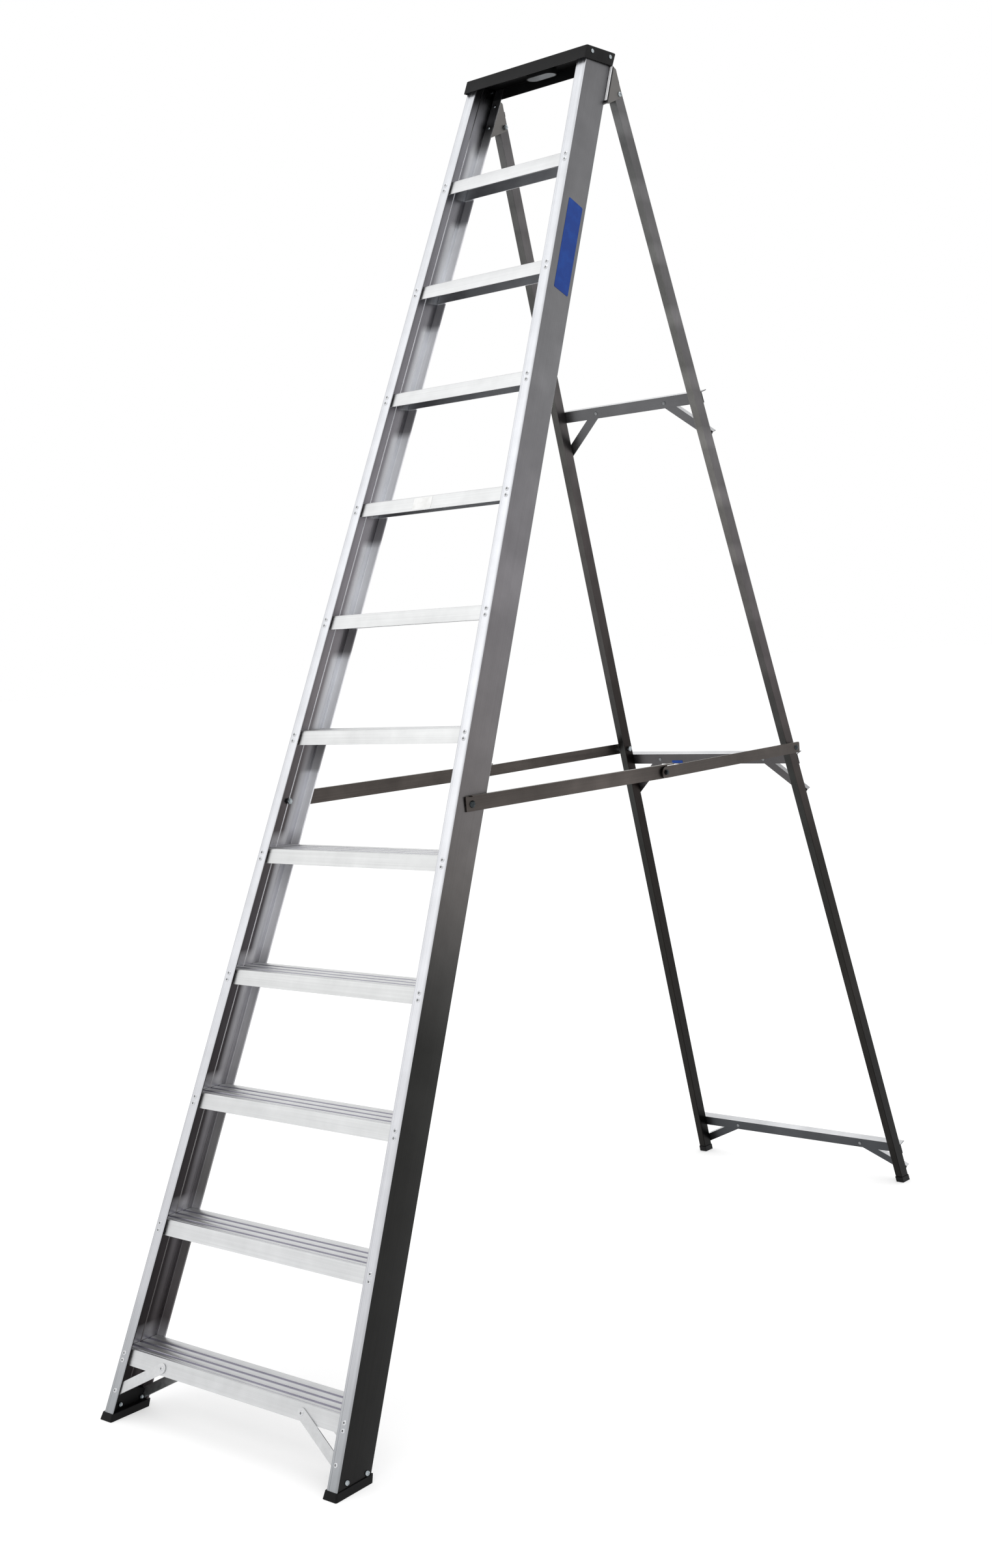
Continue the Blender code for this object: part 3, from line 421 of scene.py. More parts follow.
LOOKS = {
    "tread": metal("tread_face", TREAD_STOPS, ALONG_X, roughness=0.42, smudges=0.05),
    "groove": metal("tread_groove_shade", GROOVE_SHADE_STOPS, ALONG_X, roughness=0.5),
    "hollow": metal("tread_hollow_shade", HOLLOW_SHADE_STOPS, ALONG_X, roughness=0.45, smudges=0.1),
    # The stile's flange, web, inside, fold and rib looks are one aluminium, lit and shaded: painted
    # light and shade.
    "flange": metal("stile_flange", FLANGE_STOPS, ALONG_S, roughness=0.34, smudges=0.05,
                    edges=FLANGE_EDGE_SHADE),
    "web": metal("stile_web", WEB_STOPS, ALONG_S, roughness=0.38, streaks=0.07, smudges=0.06,
                 glint_patches=0.16),
    "inner": inside_metal("stile_inside", INNER_REAR, 1.0, 0.31),
    "fold": inside_metal("stile_fold", FOLD_STOPS, 0.3, 0.5),
    "rib": metal("stile_rib", FOLD_STOPS, ALONG_S, roughness=0.5, metallic=0.3),
    "leg": metal("leg_tube", LEG_STOPS, ALONG_S, roughness=0.34, streaks=0.07, smudges=0.09,
                 glint_patches=0.2, glint_bands=0.35, shaded_sides=LEG_SIDE_SHADE),
    "left_leg": metal("leg_tube_left", LEFT_LEG_STOPS, ALONG_S, roughness=0.34, streaks=0.07,
                      smudges=0.09, glint_patches=0.3, glint_bands=0.15, shaded_sides=LEFT_LEG_SIDE_SHADE),
    # The cross braces' tops are painted paler, as light falling on them.
    "brace": metal("cross_brace", BRACE_STOPS, ALONG_X, roughness=0.4, glint_patches=0.15,
                   lit_top="#d3d4d6"),
    "strip": metal("bottom_strip", TREAD_STOPS, ALL_WAYS, roughness=0.4),
    # The stays' tops are painted paler, as light falling on them.
    "stay": metal("stay_bar", STAY_STOPS, ALONG_Y, roughness=0.4, streaks=0.1, smudges=0.1,
                  glint_patches=0.3, lit_top="#93918c"),
    "ear": metal("hinge_ear", EAR_STOPS, ALL_WAYS, roughness=0.45),
    "lip": metal("bracket_lip", LIP_STOPS, ALL_WAYS, roughness=0.4, metallic=0.15),
    # The cap's underside and its ends are painted near black, as shade.
    "cap": moulding("cap_plastic", "#131314", 0.6, specular=0.2, under="#050506", ends="#070708"),
    # The tool slot's walls are painted pale, as light falling into it.
    "slot": moulding("slot_wall_painted_light", "#7d7f81", 0.5, specular=0.2),
    "foot": moulding("foot_plastic", "#09090a", 0.5, 700.0, specular=0.15),
    "pad": moulding("pad_plastic", "#101011", 0.55),
    "zinc": plated("zinc_plate", "#b4babd", "#69747a"),
    "dark_zinc": plated("dark_head", "#3e4346", "#1c1f21", 0.22),
    "rivet": plated("rivet_aluminium", "#dddee0", "#bfc1c4", 0.4),
    "dull_rivet": plated("rivet_dull", "#8b8d8f", "#6d6f71", 0.35),
    # Painted shade in a rivet's hollow.
    "hole": moulding("rivet_hole", "#0a0a0b", 0.7),
    "blue": printed("blue_film", "#17387f", "#1f4690"),
    "pale": printed("pale_film", "#f1f1f0", "#dcdcda"),
}

# ---- mesh tools ------------------------------------------------------------------------------


def rounded(corners, radius, steps=4):
    """The outline with its corners rounded. radius is one number, or one for each corner."""
    radii = radius if isinstance(radius, (list, tuple)) else [radius] * len(corners)
    ring = []
    for index, (corner, r) in enumerate(zip(corners, radii)):
        point = Vector(corner)
        if r == 0:
            ring.append(point)
            continue
        before = (Vector(corners[index - 1]) - point).normalized()
        after = (Vector(corners[(index + 1) % len(corners)]) - point).normalized()
        half = before.angle(after) / 2
        centre = point + (before + after).normalized() * r / math.sin(half)
        start = point + before * r / math.tan(half) - centre
        sweep = start.angle_signed(point + after * r / math.tan(half) - centre)
        for step in range(steps + 1):
            turn = Matrix.Rotation(-sweep * step / steps, 2)
            ring.append(centre + turn @ start)
    return ring


def rectangle(x, y, radius, steps=4):
    return rounded([(-x, -y), (x, -y), (x, y), (-x, y)], radius, steps)


def stadium(half, radius, steps=12):
    """An outline along X with two round ends."""
    ring = []
    for side in (1, -1):
        for step in range(steps + 1):
            angle = math.pi * (step / steps - 0.5)
            x = half + radius * math.cos(angle)
            ring.append((side * x, side * radius * math.sin(angle)))
    return ring


def prism(outline, low, high, axes="xyz"):
    """A closed prism. axes says which local axes the outline's two directions and the extrusion
    run along, such as "yzx"."""
    order = ["xyz".index(axis) for axis in axes]
    shape = bmesh.new()
    ends = []
    for level in (low, high):
        end = []
        for u, v in outline:
            place = [0, 0, 0]
            for axis, value in zip(order, (u, v, level)):
                place[axis] = value
            end.append(shape.verts.new(place))
        ends.append(end)
    shape.faces.new(ends[0])
    shape.faces.new(ends[1])
    count = len(outline)
    for k in range(count):
        after = (k + 1) % count
        shape.faces.new((ends[0][k], ends[0][after], ends[1][after], ends[1][k]))
    bmesh.ops.recalc_face_normals(shape, faces=shape.faces)
    return shape


def turned(profile, steps=24):
    """A closed turned shape about Z. profile runs as (radius, height) from the axis to the axis."""
    shape = bmesh.new()
    rings = []
    for radius, height in profile:
        count = steps if radius > 0 else 1
        turn = 2 * math.pi / steps
        places = [(radius * math.cos(turn * k), radius * math.sin(turn * k), height)
                  for k in range(count)]
        rings.append([shape.verts.new(place) for place in places])
    for upper, lower in zip(rings, rings[1:]):
        for k in range(steps):
            after = (k + 1) % steps
            corners = [upper[k % len(upper)], lower[k % len(lower)]]
            corners += [lower[after % len(lower)], upper[after % len(upper)]]
            shape.faces.new(list(dict.fromkeys(corners)))
    bmesh.ops.recalc_face_normals(shape, faces=shape.faces)
    return shape


def piece(name, body, shape, looks, matrix=Matrix.Identity(4), paint=None, sharp=35, replaces=()):
    """Makes an object of the shape, which rides the body. paint gives a face's place in looks."""
    if paint:
        shape.faces.ensure_lookup_table()
        for face in shape.faces:
            face.material_index = paint(face.normal, face.calc_center_median())
    mesh = bpy.data.meshes.new(name)
    shape.to_mesh(mesh)
    shape.free()
    for look in looks:
        mesh.materials.append(LOOKS[look])
    mesh.shade_smooth()
    mesh.set_sharp_from_angle(angle=math.radians(sharp))
    made = bpy.data.objects.new(name, mesh)
    made.matrix_world = matrix
    bpy.context.scene.collection.objects.link(made)
    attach(made, body)
    if replaces:
        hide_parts(*replaces)
    return made


def soften(thing, width, segments=2, angle=30):
    """Rounds a thing's hard edges."""
    bevel = thing.modifiers.new("edges", "BEVEL")
    bevel.width = width
    bevel.segments = segments
    bevel.limit_method = "ANGLE"
    bevel.angle_limit = math.radians(angle)
    return thing


def facing(place, direction):
    """A frame at a place whose Z axis points in a direction."""
    turn = Vector(direction).to_track_quat("Z", "Y").to_matrix().to_4x4()
    return Matrix.Translation(place) @ turn


def level_ends(shape, matrix, low, high):
    """Slides the points at either end of a prism along its Z axis onto level planes."""
    middle = sum(v.co.z for v in shape.verts) / len(shape.verts)
    climb = (matrix.to_3x3() @ Vector((0, 0, 1))).z
    for vertex in shape.verts:
        wanted = high if vertex.co.z > middle else low
        vertex.co.z += (wanted - (matrix @ vertex.co).z) / climb


def copies(shape, places):
    """One shape made of the same shape at several places, each a matrix."""
    mesh = bpy.data.meshes.new("pattern")
    shape.to_mesh(mesh)
    shape.free()
    together = bmesh.new()
    for place in places:
        first = len(together.verts)
        together.from_mesh(mesh)
        together.verts.ensure_lookup_table()
        bmesh.ops.transform(together, matrix=place, verts=together.verts[first:])
    bpy.data.meshes.remove(mesh)
    return together


def cut(shape, cutter, operation="DIFFERENCE"):
    """The shape after a Boolean with the cutter."""
    things = []
    for part in (shape, cutter):
        mesh = bpy.data.meshes.new("working")
        part.to_mesh(mesh)
        part.free()
        thing = bpy.data.objects.new("working", mesh)
        bpy.context.scene.collection.objects.link(thing)
        things.append(thing)
    change = things[0].modifiers.new("change", "BOOLEAN")
    change.operation = operation
    change.object = things[1]
    graph = bpy.context.evaluated_depsgraph_get()
    result = bmesh.new()
    result.from_object(things[0], graph)
    for thing in things:
        mesh = thing.data
        bpy.data.objects.remove(thing)
        bpy.data.meshes.remove(mesh)
    return result


# ---- fasteners -------------------------------------------------------------------------------


def rivet_shape():
    """A pop rivet's dome, with the end of its mandrel down in a hollow."""
    r = RIVET_RADIUS
    profile = [(0, 0.0012), (r * 0.14, 0.0012), (r * 0.18, 0.0002), (r * 0.36, 0.0002)]
    profile += [(r * 0.42, 0.0015), (r * 0.58, 0.0019), (r * 0.78, 0.0015), (r * 0.94, 0.0008)]
    return turned(profile + [(r, 0), (0, -0.0001)], 20)


def rivets(name, body, places):
    """Rivets at several matrices, and a dark disc of painted shade in the hollow of each."""
    piece(name, body, copies(rivet_shape(), places), ["rivet"])
    edge = RIVET_RADIUS * 0.38
    shade_disc = turned([(0, 0.0006), (edge, 0.0006), (edge, 0.0001), (0, 0.0001)], 16)
    piece(name + "_holes", body, copies(shade_disc, places), ["hole"])


def dome_shape(radius=DOME_RADIUS, height=0.0030):
    """A snap-head rivet."""
    profile = [(0, height), (radius * 0.35, height * 0.95), (radius * 0.7, height * 0.72)]
    profile += [(radius * 0.92, height * 0.38), (radius, 0), (0, -0.0001)]
    return turned(profile, 24)


def screw_head(radius, height):
    """A pan head with a crossed recess."""
    profile = [(0, height), (radius * 0.5, height * 0.94), (radius * 0.82, height * 0.68)]
    profile += [(radius * 0.97, height * 0.3), (radius, 0), (0, -0.0004)]
    head = turned(profile, 32)
    arm, half = radius * 0.5, radius * 0.11
    for outline in (rectangle(arm, half, 0.0001), rectangle(half, arm, 0.0001)):
        head = cut(head, prism(outline, height * 0.45, height * 2))
    return head


# ---- front frame -----------------------------------------------------------------------------


def stile_outline(side):
    """X from the web's outer face, N from the front flange. Each flange has a thick edge and a
    fine line down it, and a rib runs down the middle of the inside. Both stiles are the same
    profile, one of them turned end for end, so the line is in another place on the left one."""
    edge, wall, lip = STILE_FLANGE, STILE_WALL, STILE_LIP
    line_half = 0.0003
    line_depth = 0.0006
    thick = edge - 0.0034
    thin = edge - 0.0042
    flanges = []
    for line in FLANGE_LINES[::-side]:
        flange = [(0, 0, 0.0022), (line - line_half, 0, 0), (line, line_depth, 0)]
        flange += [(line + line_half, 0, 0), (edge, 0, 0.0014), (edge, lip, 0.0014)]
        flanges.append(flange + [(thick, lip, 0), (thin, wall, 0), (wall, wall, 0.0008)])
    front = flanges[0]
    back = [(x, STILE_DEPTH - n, r) for x, n, r in reversed(flanges[1])]
    middle = STILE_DEPTH / 2
    crest = wall + 0.0009
    rib = [(wall, middle - 0.0011, 0), (crest, middle - 0.0004, 0)]
    rib += [(crest, middle + 0.0004, 0), (wall, middle + 0.0011, 0)]
    corners = front + rib + back
    return rounded([(-side * x, n) for x, n, _ in corners], [r for _, _, r in corners])


def make_stile(word, side):
    """Its faces take lit and shaded copies of one aluminium, as painted light and shade. The inside
    of the rear flange, with its lip, is the fold. The front flange's lip is painted as dark as the
    web, as shade, and the rib and the rounded corners at the web take paler looks, as painted
    highlights."""
    place = stile_frame(side)
    shape = prism(stile_outline(side), STILE_BOTTOM, STILE_TOP)
    level_ends(shape, place, STILE_BOTTOM, STILE_TOP)
    looks = ["flange", "web", "inner", "fold", "rib"]

    def paint(normal, centre):
        depth = -side * centre.x
        edge = min(centre.y, STILE_DEPTH - centre.y)
        on_rib = STILE_WALL + 0.0001 < depth < STILE_WALL + 0.002 and edge > 0.03
        on_lip = depth > STILE_FLANGE - 0.0045 and 0.0011 < edge < 0.006
        behind = centre.y > STILE_DEPTH / 2
        if on_rib:
            return looks.index("rib")
        if behind and on_lip:
            return looks.index("fold")
        if depth < 0.0001 or on_lip:
            return looks.index("web")
        if edge < 0.0011 or (depth < 0.0018 and edge < 0.0024):
            return looks.index("flange")
        if behind and edge < 0.004 and abs(normal.y) > 0.7:
            return looks.index("fold")
        return looks.index("inner")

    name = f"stile_{word}"
    piece(name + "_profile", "front_frame", shape, looks, place, paint, replaces=[name])


def tread_outline():
    """A tread's section, Y and Z from its top front corner. Its two faces lie along the slope,
    with a bead along the nose and three wide grooves behind a fine one."""
    slope = math.tan(LEAN)
    depth = (TREAD_BACK - TREAD_FRONT) / math.cos(LEAN)
    skin = TREAD_SKIN / math.cos(LEAN)
    roof = TREAD_GROOVE + TREAD_SKIN
    bead = 0.0022
    corners = [(-TREAD_HEIGHT * slope, -TREAD_HEIGHT, 0.0005), (-bead * slope, -bead, 0.0010)]
    corners += [(0.0006, 0, 0.0012)]
    for front, back in GROOVES:
        fall = TREAD_GROOVE if back - front > 0.003 else FINE_GROOVE
        corners += [(front, 0, 0.0005), (front + 0.0004, -fall, 0.0002)]
        corners += [(back - 0.0004, -fall, 0.0002), (back, 0, 0.0005)]
    corners += [(depth, 0, 0.0010)]
    foot = depth - TREAD_HEIGHT * slope
    corners += [(foot, -TREAD_HEIGHT, 0.0005), (foot - skin, -TREAD_HEIGHT, 0.0005)]
    corners += [(depth - roof * slope - skin, -roof, 0.0010), (-roof * slope + skin, -roof, 0.0010)]
    corners += [(-TREAD_HEIGHT * slope + skin, -TREAD_HEIGHT, 0.0005)]
    return rounded([(y, z) for y, z, _ in corners], [r for _, _, r in corners], 3)


def paint_tread(shape, looks):
    """The grooves, and the hollow below the tread, have looks of their own, darker as painted
    shade.
    """
    hollow_end = (TREAD_BACK - TREAD_FRONT) / math.cos(LEAN) - TREAD_SKIN * 0.8
    for face in shape.faces:
        centre = face.calc_center_median()
        in_groove = -TREAD_GROOVE - 0.0003 < centre.z < -0.0004 and 0.0015 < centre.y < 0.07
        from_front = centre.y - centre.z * math.tan(LEAN)
        hollow = TREAD_SKIN * 0.8 < from_front < hollow_end and centre.z < -TREAD_GROOVE - 0.0008
        if abs(face.normal.x) > 0.5:
            face.material_index = looks.index("tread")
        elif in_groove and face.normal.z > -0.5:
            face.material_index = looks.index("groove")
        elif hollow:
            face.material_index = looks.index("hollow")


def make_tread(number):
    """number counts up from 0 at the bottom. The ends are slanted to meet the stiles' webs."""
    top = TREAD_FIRST + number * TREAD_PITCH + TREAD_HEIGHT / math.cos(LEAN)
    place = FRONT @ Matrix.Translation((0, TREAD_FRONT, top)) @ Matrix.Rotation(LEAN, 4, "X")
    shape = prism(tread_outline(), -HALF_WIDTH, HALF_WIDTH, "yzx")
    to_front = FRONT.inverted() @ place
    for vertex in shape.verts:
        reach = half_width((to_front @ vertex.co).z) - STILE_WALL - TREAD_GAP
        vertex.co.x = math.copysign(reach, vertex.co.x)
    looks = ["tread", "groove", "hollow"]
    paint_tread(shape, looks)
    bmesh.ops.transform(shape, matrix=to_front, verts=shape.verts)
    name = f"tread_{TREAD_COUNT - number:02d}"
    piece(name + "_profile", "front_frame", shape, looks, FRONT, replaces=[name])


def make_tread_rivets(word, side):
    """A pair through each flange at each tread's end, the rear ones a little further up."""
    sets = (("front", 0, -1, 0), ("rear", STILE_DEPTH, 1, REAR_RIVET_RISE))
    for place, n, away, rise in sets:
        places = []
        for number in range(TREAD_COUNT):
            for level in RIVET_LEVELS:
                s = TREAD_FIRST + number * TREAD_PITCH + level + rise
                x = side * (half_width(s) - RIVET_INSET)
                places.append(FRONT @ facing((x, n, s), (0, away, 0)))
        rivets(f"tread_rivets_{place}_{word}", "front_frame", places)


def make_strip_rivets(word, side):
    """Where the bottom strips meet the bottom tread and the stile's flanges."""
    places = []
    for on_tread, on_stile, away in ((STRIP_FRONT, 0, -1), (STRIP_BACK, STILE_DEPTH, 1)):
        for (x, s), n in ((STRIP_TREAD_RIVET, on_tread), (STRIP_STILE_RIVET, on_stile)):
            places.append(FRONT @ facing((side * x, n, s), (0, away, 0)))
    rivets(f"bottom_strip_rivets_{word}", "front_frame", places)


def make_cap():
    """The moulded cap: a shell with soft corners, with a collared slot for tools."""
    slope = math.tan(LEAN)

    def slanted(shape, offset):
        for vertex in shape.verts:
            vertex.co.y += FOOT_LINE + vertex.co.z * slope + offset
        return shape

    middle = (CAP_FRONT + CAP_BACK) / 2 / math.cos(LEAN)
    half = (CAP_BACK - CAP_FRONT) / 2 / math.cos(LEAN)
    outer = rectangle(CAP_HALF, half, CAP_CORNER, 5)
    shell = slanted(prism(outer, CAP_BOTTOM, CAP_TOP), middle)
    rim = [edge for edge in shell.edges if min(v.co.z for v in edge.verts) > CAP_TOP - 0.0001]
    bmesh.ops.bevel(shell, geom=rim, offset=CAP_RIM, segments=4, profile=0.5, affect="EDGES")
    inner = rectangle(CAP_HALF - CAP_WALL, half - CAP_WALL, 0.002, 3)
    shell = cut(shell, slanted(prism(inner, CAP_BOTTOM - 0.01, CAP_TOP - CAP_WALL), middle))
    slot_y = FOOT_LINE + SLOT_BEHIND
    for radius, low, high, kind in (
        (SLOT_RADIUS + SLOT_COLLAR, COLLAR_BOTTOM, CAP_TOP - CAP_WALL / 2, "UNION"),
        (SLOT_RADIUS, CAP_BOTTOM - 0.01, CAP_TOP + 0.01, "DIFFERENCE"),
    ):
        tool = prism([(x, y + slot_y) for x, y in stadium(SLOT_HALF, radius)], low, high)
        shell = cut(shell, tool, kind)
    looks = ["cap", "slot"]

    # The slot's walls take the pale look, painted light.
    def paint(normal, centre):
        along_slot = max(-SLOT_HALF, min(SLOT_HALF, centre.x))
        reach = math.hypot(centre.x - along_slot, centre.y - slot_y)
        in_slot = abs(normal.z) < 0.3 and reach < SLOT_RADIUS + 0.0004
        return looks.index("slot" if in_slot else "cap")

    made = piece("top_cap_shell", "front_frame", shell, looks, paint=paint, sharp=30,
                 replaces=["top_cap"])
    soften(made, 0.0004, 2, 40)


def make_screws():
    """Crossed heads over the CAD's plain ones, a little larger than them, and the hinge bolts."""
    for word, side in SIDES:
        for place in ("front", "rear"):
            for name, radius, height in (
                (f"cap_screw_{place}_{word}", 0.0042, 0.0022),
                (f"foot_bolt_{place}_{word}", 0.0050, 0.0032),
            ):
                low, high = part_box(name)
                x = (high.x if side > 0 else -low.x) - height
                spot = (side * x, (low.y + high.y) / 2, (low.z + high.z) / 2)
                head = screw_head(radius * 1.03, height * 1.04)
                piece(name + "_head", "front_frame", head, ["zinc"], facing(spot, (side, 0, 0)))
        make_bolt(f"hinge_bolt_{word}", "front_frame", side, HINGE.y, HINGE.z,
                  screw_head(0.0054, 0.0034), 0.0034, 0.0060, 0.0045)


def make_bracket_rivets(word, side):
    """Through the stile's rear flange, one above the other, with their heads inside it."""
    places = []
    for s in BRACKET_RIVETS:
        x = side * (half_width(s) - RIVET_INSET)
        places.append(FRONT @ facing((x, STILE_DEPTH - STILE_WALL, s), (0, -1, 0)))
    heads = copies(dome_shape(0.0042, 0.0022), places)
    piece(f"hinge_rivets_{word}", "front_frame", heads, ["zinc"])


def make_bracket_lip(word, side):
    """The edge of the hinge bracket's base, which stands out beside the stile."""
    inner, outer = [], []
    for s in (BRACKET_LOW, BRACKET_HIGH):
        inner.append((side * (half_width(s) + GAP), s))
        outer.append((side * (leg_centre(s - HINGE_S) + BRACKET_HALF), s))
    front = STILE_DEPTH - 0.0014
    back = STILE_DEPTH - 0.0001
    shape = prism(inner + outer[::-1], front, back, "xzy")
    lip = piece(f"hinge_lip_{word}", "front_frame", shape, ["lip"], FRONT)
    soften(lip, 0.0005, 2)


def film(corners, rise, radius, level, axes):
    """A thin film between two opposite corners, both moved up by a rise. Its lower face is at a
    level along the last of the axes."""
    (left, low), (right, high) = corners
    low += rise
    high += rise
    outline = rounded([(left, low), (right, low), (right, high), (left, high)], radius)
    return prism(outline, level, level + FILM, axes)


def make_labels():
    """A plain blue film on the right web, a small one on the middle cross brace, and a pale one
    on a tread's face."""
    blue = film(SIDE_LABEL, 0, 0.003, LABEL_GAP, "yzx")
    piece("side_label", "front_frame", blue, ["blue"], stile_frame(1))
    s = TREAD_FIRST + LABELLED_TREAD * TREAD_PITCH
    pale = film(TREAD_LABEL, s, 0.002, TREAD_FRONT - LABEL_GAP - FILM, "xzy")
    piece("tread_label", "front_frame", pale, ["pale"], FRONT)
    t = CROSS_BRACES["middle"][0] - LEG_LENGTH
    small = film(BRACE_LABEL, t, 0.001, LEG_DEPTH / 2 + GAP - LABEL_GAP - FILM, "xzy")
    piece("brace_label", "rear_frame", small, ["blue"], REAR)


# ---- rear frame ------------------------------------------------------------------------------


def make_rear_rivets():
    """Snap heads on the front of the cross braces, and on the back of what is fixed to the legs."""
    face = LEG_DEPTH / 2 + GAP
    on_brace = face + ANGLE_SKIN
    on_corner = on_brace + GAP + ANGLE_SKIN
    places = []
    for top, x, foot in CROSS_BRACES.values():
        t = top - ANGLE_MIDDLE - LEG_LENGTH
        low = foot - LEG_LENGTH
        for _, side in SIDES:
            places.append(REAR @ facing((side * x, face, t), (0, -1, 0)))
            places.append(REAR @ facing((side * x, on_corner, t), (0, 1, 0)))
            places.append(REAR @ facing((side * leg_centre(t), on_brace, t), (0, 1, 0)))
            places.append(REAR @ facing((side * leg_centre(low), on_corner, low), (0, 1, 0)))
    piece("rear_frame_rivets", "rear_frame", copies(dome_shape(), places), ["dull_rivet"])


# ---- stays -----------------------------------------------------------------------------------


def nut_shape(radius, height):
    """A hexagon nut with a bevelled top, and the end of the bolt standing out of it."""
    angles = [math.pi * k / 3 for k in range(6)]
    hexagon = [(radius * math.cos(angle), radius * math.sin(angle)) for angle in angles]
    nut = prism(hexagon, 0, height)
    rim = [edge for edge in nut.edges if min(v.co.z for v in edge.verts) > height - 0.0001]
    bmesh.ops.bevel(nut, geom=rim, offset=radius * 0.14, segments=2, affect="EDGES")
    end = turned([(0, height * 1.5), (radius * 0.42, height * 1.5), (radius * 0.5, height * 1.35),
                  (radius * 0.5, 0), (0, 0)], 20)
    return cut(nut, end, "UNION")


def make_bolt(node, body, side, y, z, head, head_height, nut_radius, nut_height, look="zinc"):
    """Replaces a bolt that lies along X: its head outside, its shank, and its nut inside."""
    low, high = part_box(node)
    outer, inner = (high.x, low.x) if side > 0 else (-low.x, -high.x)
    seat = outer - head_height
    seat_in = inner + nut_height
    shank = turned([(0, seat), (SHANK_RADIUS, seat), (SHANK_RADIUS, seat_in), (0, seat_in)], 20)
    place = Matrix.Translation((0, y, z)) @ facing((0, 0, 0), (side, 0, 0))
    piece(node + "_shank", body, shank, ["zinc"], place, replaces=[node])
    piece(node + "_head", body, head, [look], place @ Matrix.Translation((0, 0, seat)))
    nut = nut_shape(nut_radius, nut_height / 1.5)
    turned_round = Matrix.Translation((0, 0, seat_in)) @ Matrix.Rotation(math.pi, 4, "X")
    piece(node + "_nut", body, nut, ["zinc"], place @ turned_round)


def make_stay_bolts(word, side):
    """The bolts of a stay's joints, the washer between its bars, and the rivet at its rear end."""
    pivot = PIVOTS[f"stay_front_{word}_pivot"]
    make_bolt(f"stay_stile_bolt_{word}", "front_frame", side, pivot.y, pivot.z,
              dome_shape(0.0072, 0.0042), 0.0042, 0.0066, 0.0050, "dark_zinc")
    pivot = PIVOTS[f"stay_rear_{word}_pivot"]
    make_bolt(f"stay_mid_bolt_{word}", f"stay_front_{word}", side, pivot.y, pivot.z,
              nut_shape(0.0062, 0.0031), 0.0046, 0.0062, 0.0045, "dark_zinc")
    washer = turned([(0, 0.0029), (0.0086, 0.0029), (0.0090, 0.0024), (0.0090, 0.0005),
                     (0.0086, 0), (0, 0)], 32)
    low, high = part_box(f"stay_rear_bar_{word}")
    face = min(abs(low.x), abs(high.x)) - WASHER_SEAT
    piece(f"stay_washer_{word}", f"stay_front_{word}", washer, ["foot"],
          facing((side * face, pivot.y, pivot.z), (side, 0, 0)))
    low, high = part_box(f"stay_leg_stud_{word}")
    spot = (side * STUD_SEAT, (low.y + high.y) / 2, (low.z + high.z) / 2)
    head = dome_shape(0.0064, 0.0040)
    piece(f"stay_end_bolt_{word}", f"stay_rear_{word}", head, ["dark_zinc"],
          facing(spot, (side, 0, 0)))


# ---- looks for the CAD pieces that stay ------------------------------------------------------


def dress_cad():
    """Each CAD piece takes the first row that its name starts with: a look, and how far its edges
    are rounded."""
    wanted = (
        ("bottom_brace", "strip", 0.0004),
        ("hinge_bracket", "ear", 0.0004),
        ("hinge_pad", "pad", 0.0004),
        ("foot_front", "foot", 0.0006),
        ("foot_rear", "foot", 0.0006),
        ("rear_leg_plug", "foot", 0.0006),
        ("rear_leg_left", "left_leg", 0.0),
        ("rear_leg", "leg", 0.0),
        ("cross_brace", "brace", 0.0003),
        ("corner_brace", "brace", 0.0003),
        ("stay_front_bar", "stay", 0.0003),
        ("stay_rear_bar", "stay", 0.0003),
        ("", "zinc", 0.0),
    )
    for name, node in frame["nodes"].items():
        start, look, edge = next(row for row in wanted if name.startswith(row[0]))
        node.data.materials.clear()
        node.data.materials.append(LOOKS[look])
        if edge:
            soften(node, edge)


# ---- studio ----------------------------------------------------------------------------------


def make_sky():
    world = bpy.data.worlds.new("studio")
    bpy.context.scene.world = world
    world.use_nodes = True
    sky = world.node_tree.nodes["Background"]
    sky.inputs["Color"].default_value = (1, 1, 1, 1)
    sky.inputs["Strength"].default_value = 1.0


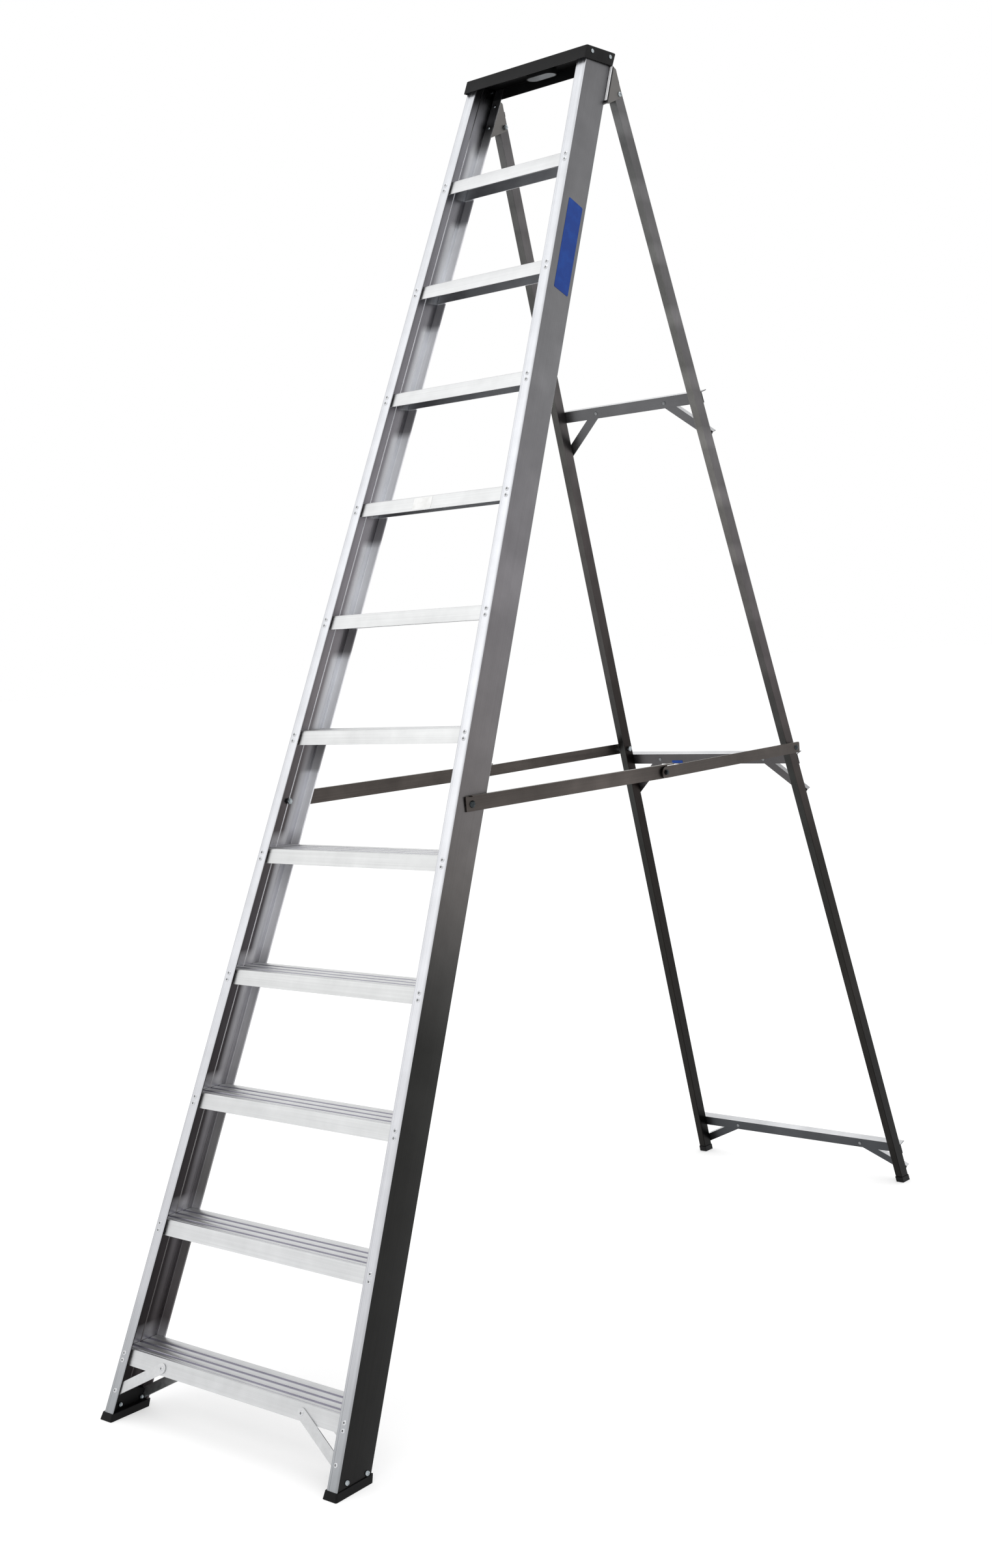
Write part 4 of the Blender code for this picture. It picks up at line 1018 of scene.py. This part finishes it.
def make_floor():
    """White paper that glows a little, so that it is as bright as the sky but takes a shadow."""
    nodes = Nodes("floor_paper")
    speck = nodes.scaled_noise((3, 3, 3), 2)
    paper = nodes.times(colour_of("#cfcfcf"), nodes.ranged(speck, 0.99, 1.0))
    nodes.join(paper, nodes.shader.inputs["Base Color"])
    nodes.shader.inputs["Roughness"].default_value = 0.95
    nodes.shader.inputs["Emission Color"].default_value = (1, 1, 1, 1)
    nodes.shader.inputs["Emission Strength"].default_value = 0.45
    nodes.shader.inputs["Specular IOR Level"].default_value = 0.0
    shape = bmesh.new()
    bmesh.ops.create_grid(shape, x_segments=1, y_segments=1, size=60)
    mesh = bpy.data.meshes.new("floor")
    shape.to_mesh(mesh)
    shape.free()
    mesh.materials.append(nodes.material)
    floor = bpy.data.objects.new("floor", mesh)
    floor.location.z = -0.0005          # just clear of the feet
    bpy.context.scene.collection.objects.link(floor)


def make_lamps():
    target = Vector((0, 0, 1.2))
    for name, place, size, power in (
        ("key", (-2.6, -4.4, 5.2), 3.5, 14),
        ("top", (0.4, 0.6, 6.5), 4.0, 60),
    ):
        lamp = bpy.data.lights.new(name, "AREA")
        lamp.shape = "DISK"
        lamp.size = size
        lamp.energy = power
        stand = bpy.data.objects.new(name, lamp)
        stand.matrix_world = facing(place, Vector(place) - target)
        bpy.context.scene.collection.objects.link(stand)


CAMERA_PLACE = (2.5692, -1.9811, 1.4415)    # from the middle of the foot line
CAMERA_ANGLES = (38.398, 6.147, -3.429)     # azimuth from the front, elevation and roll
CAMERA_LENS = 41.83
CAMERA_SHIFT = (-0.0720, 0.0264)


def make_camera():
    """Stands to the right of the climber, a little above the ladder's middle, looking just down."""
    azimuth, elevation, roll = (math.radians(angle) for angle in CAMERA_ANGLES)
    camera = bpy.data.objects.new("camera", bpy.data.cameras.new("camera"))
    level = math.cos(elevation)
    back = Vector((math.sin(azimuth) * level, -math.cos(azimuth) * level, math.sin(elevation)))
    turn = back.to_track_quat("Z", "Y").to_matrix().to_4x4() @ Matrix.Rotation(roll, 4, "Z")
    x, y, z = CAMERA_PLACE
    camera.matrix_world = Matrix.Translation((x, FOOT_LINE + y, z)) @ turn
    camera.data.lens = CAMERA_LENS
    camera.data.sensor_width = 36
    camera.data.shift_x, camera.data.shift_y = CAMERA_SHIFT
    camera.data.clip_end = 200
    bpy.context.scene.collection.objects.link(camera)
    bpy.context.scene.camera = camera


# ---- assembly --------------------------------------------------------------------------------

dress_cad()
for number in range(TREAD_COUNT):
    make_tread(number)
make_cap()
for word, side in SIDES:
    make_stile(word, side)
    make_tread_rivets(word, side)
    make_strip_rivets(word, side)
    make_bracket_rivets(word, side)
    make_bracket_lip(word, side)
    make_stay_bolts(word, side)
make_screws()
make_labels()
make_rear_rivets()
make_sky()
make_floor()
make_lamps()
make_camera()
bpy.context.scene.view_settings.view_transform = "Standard"
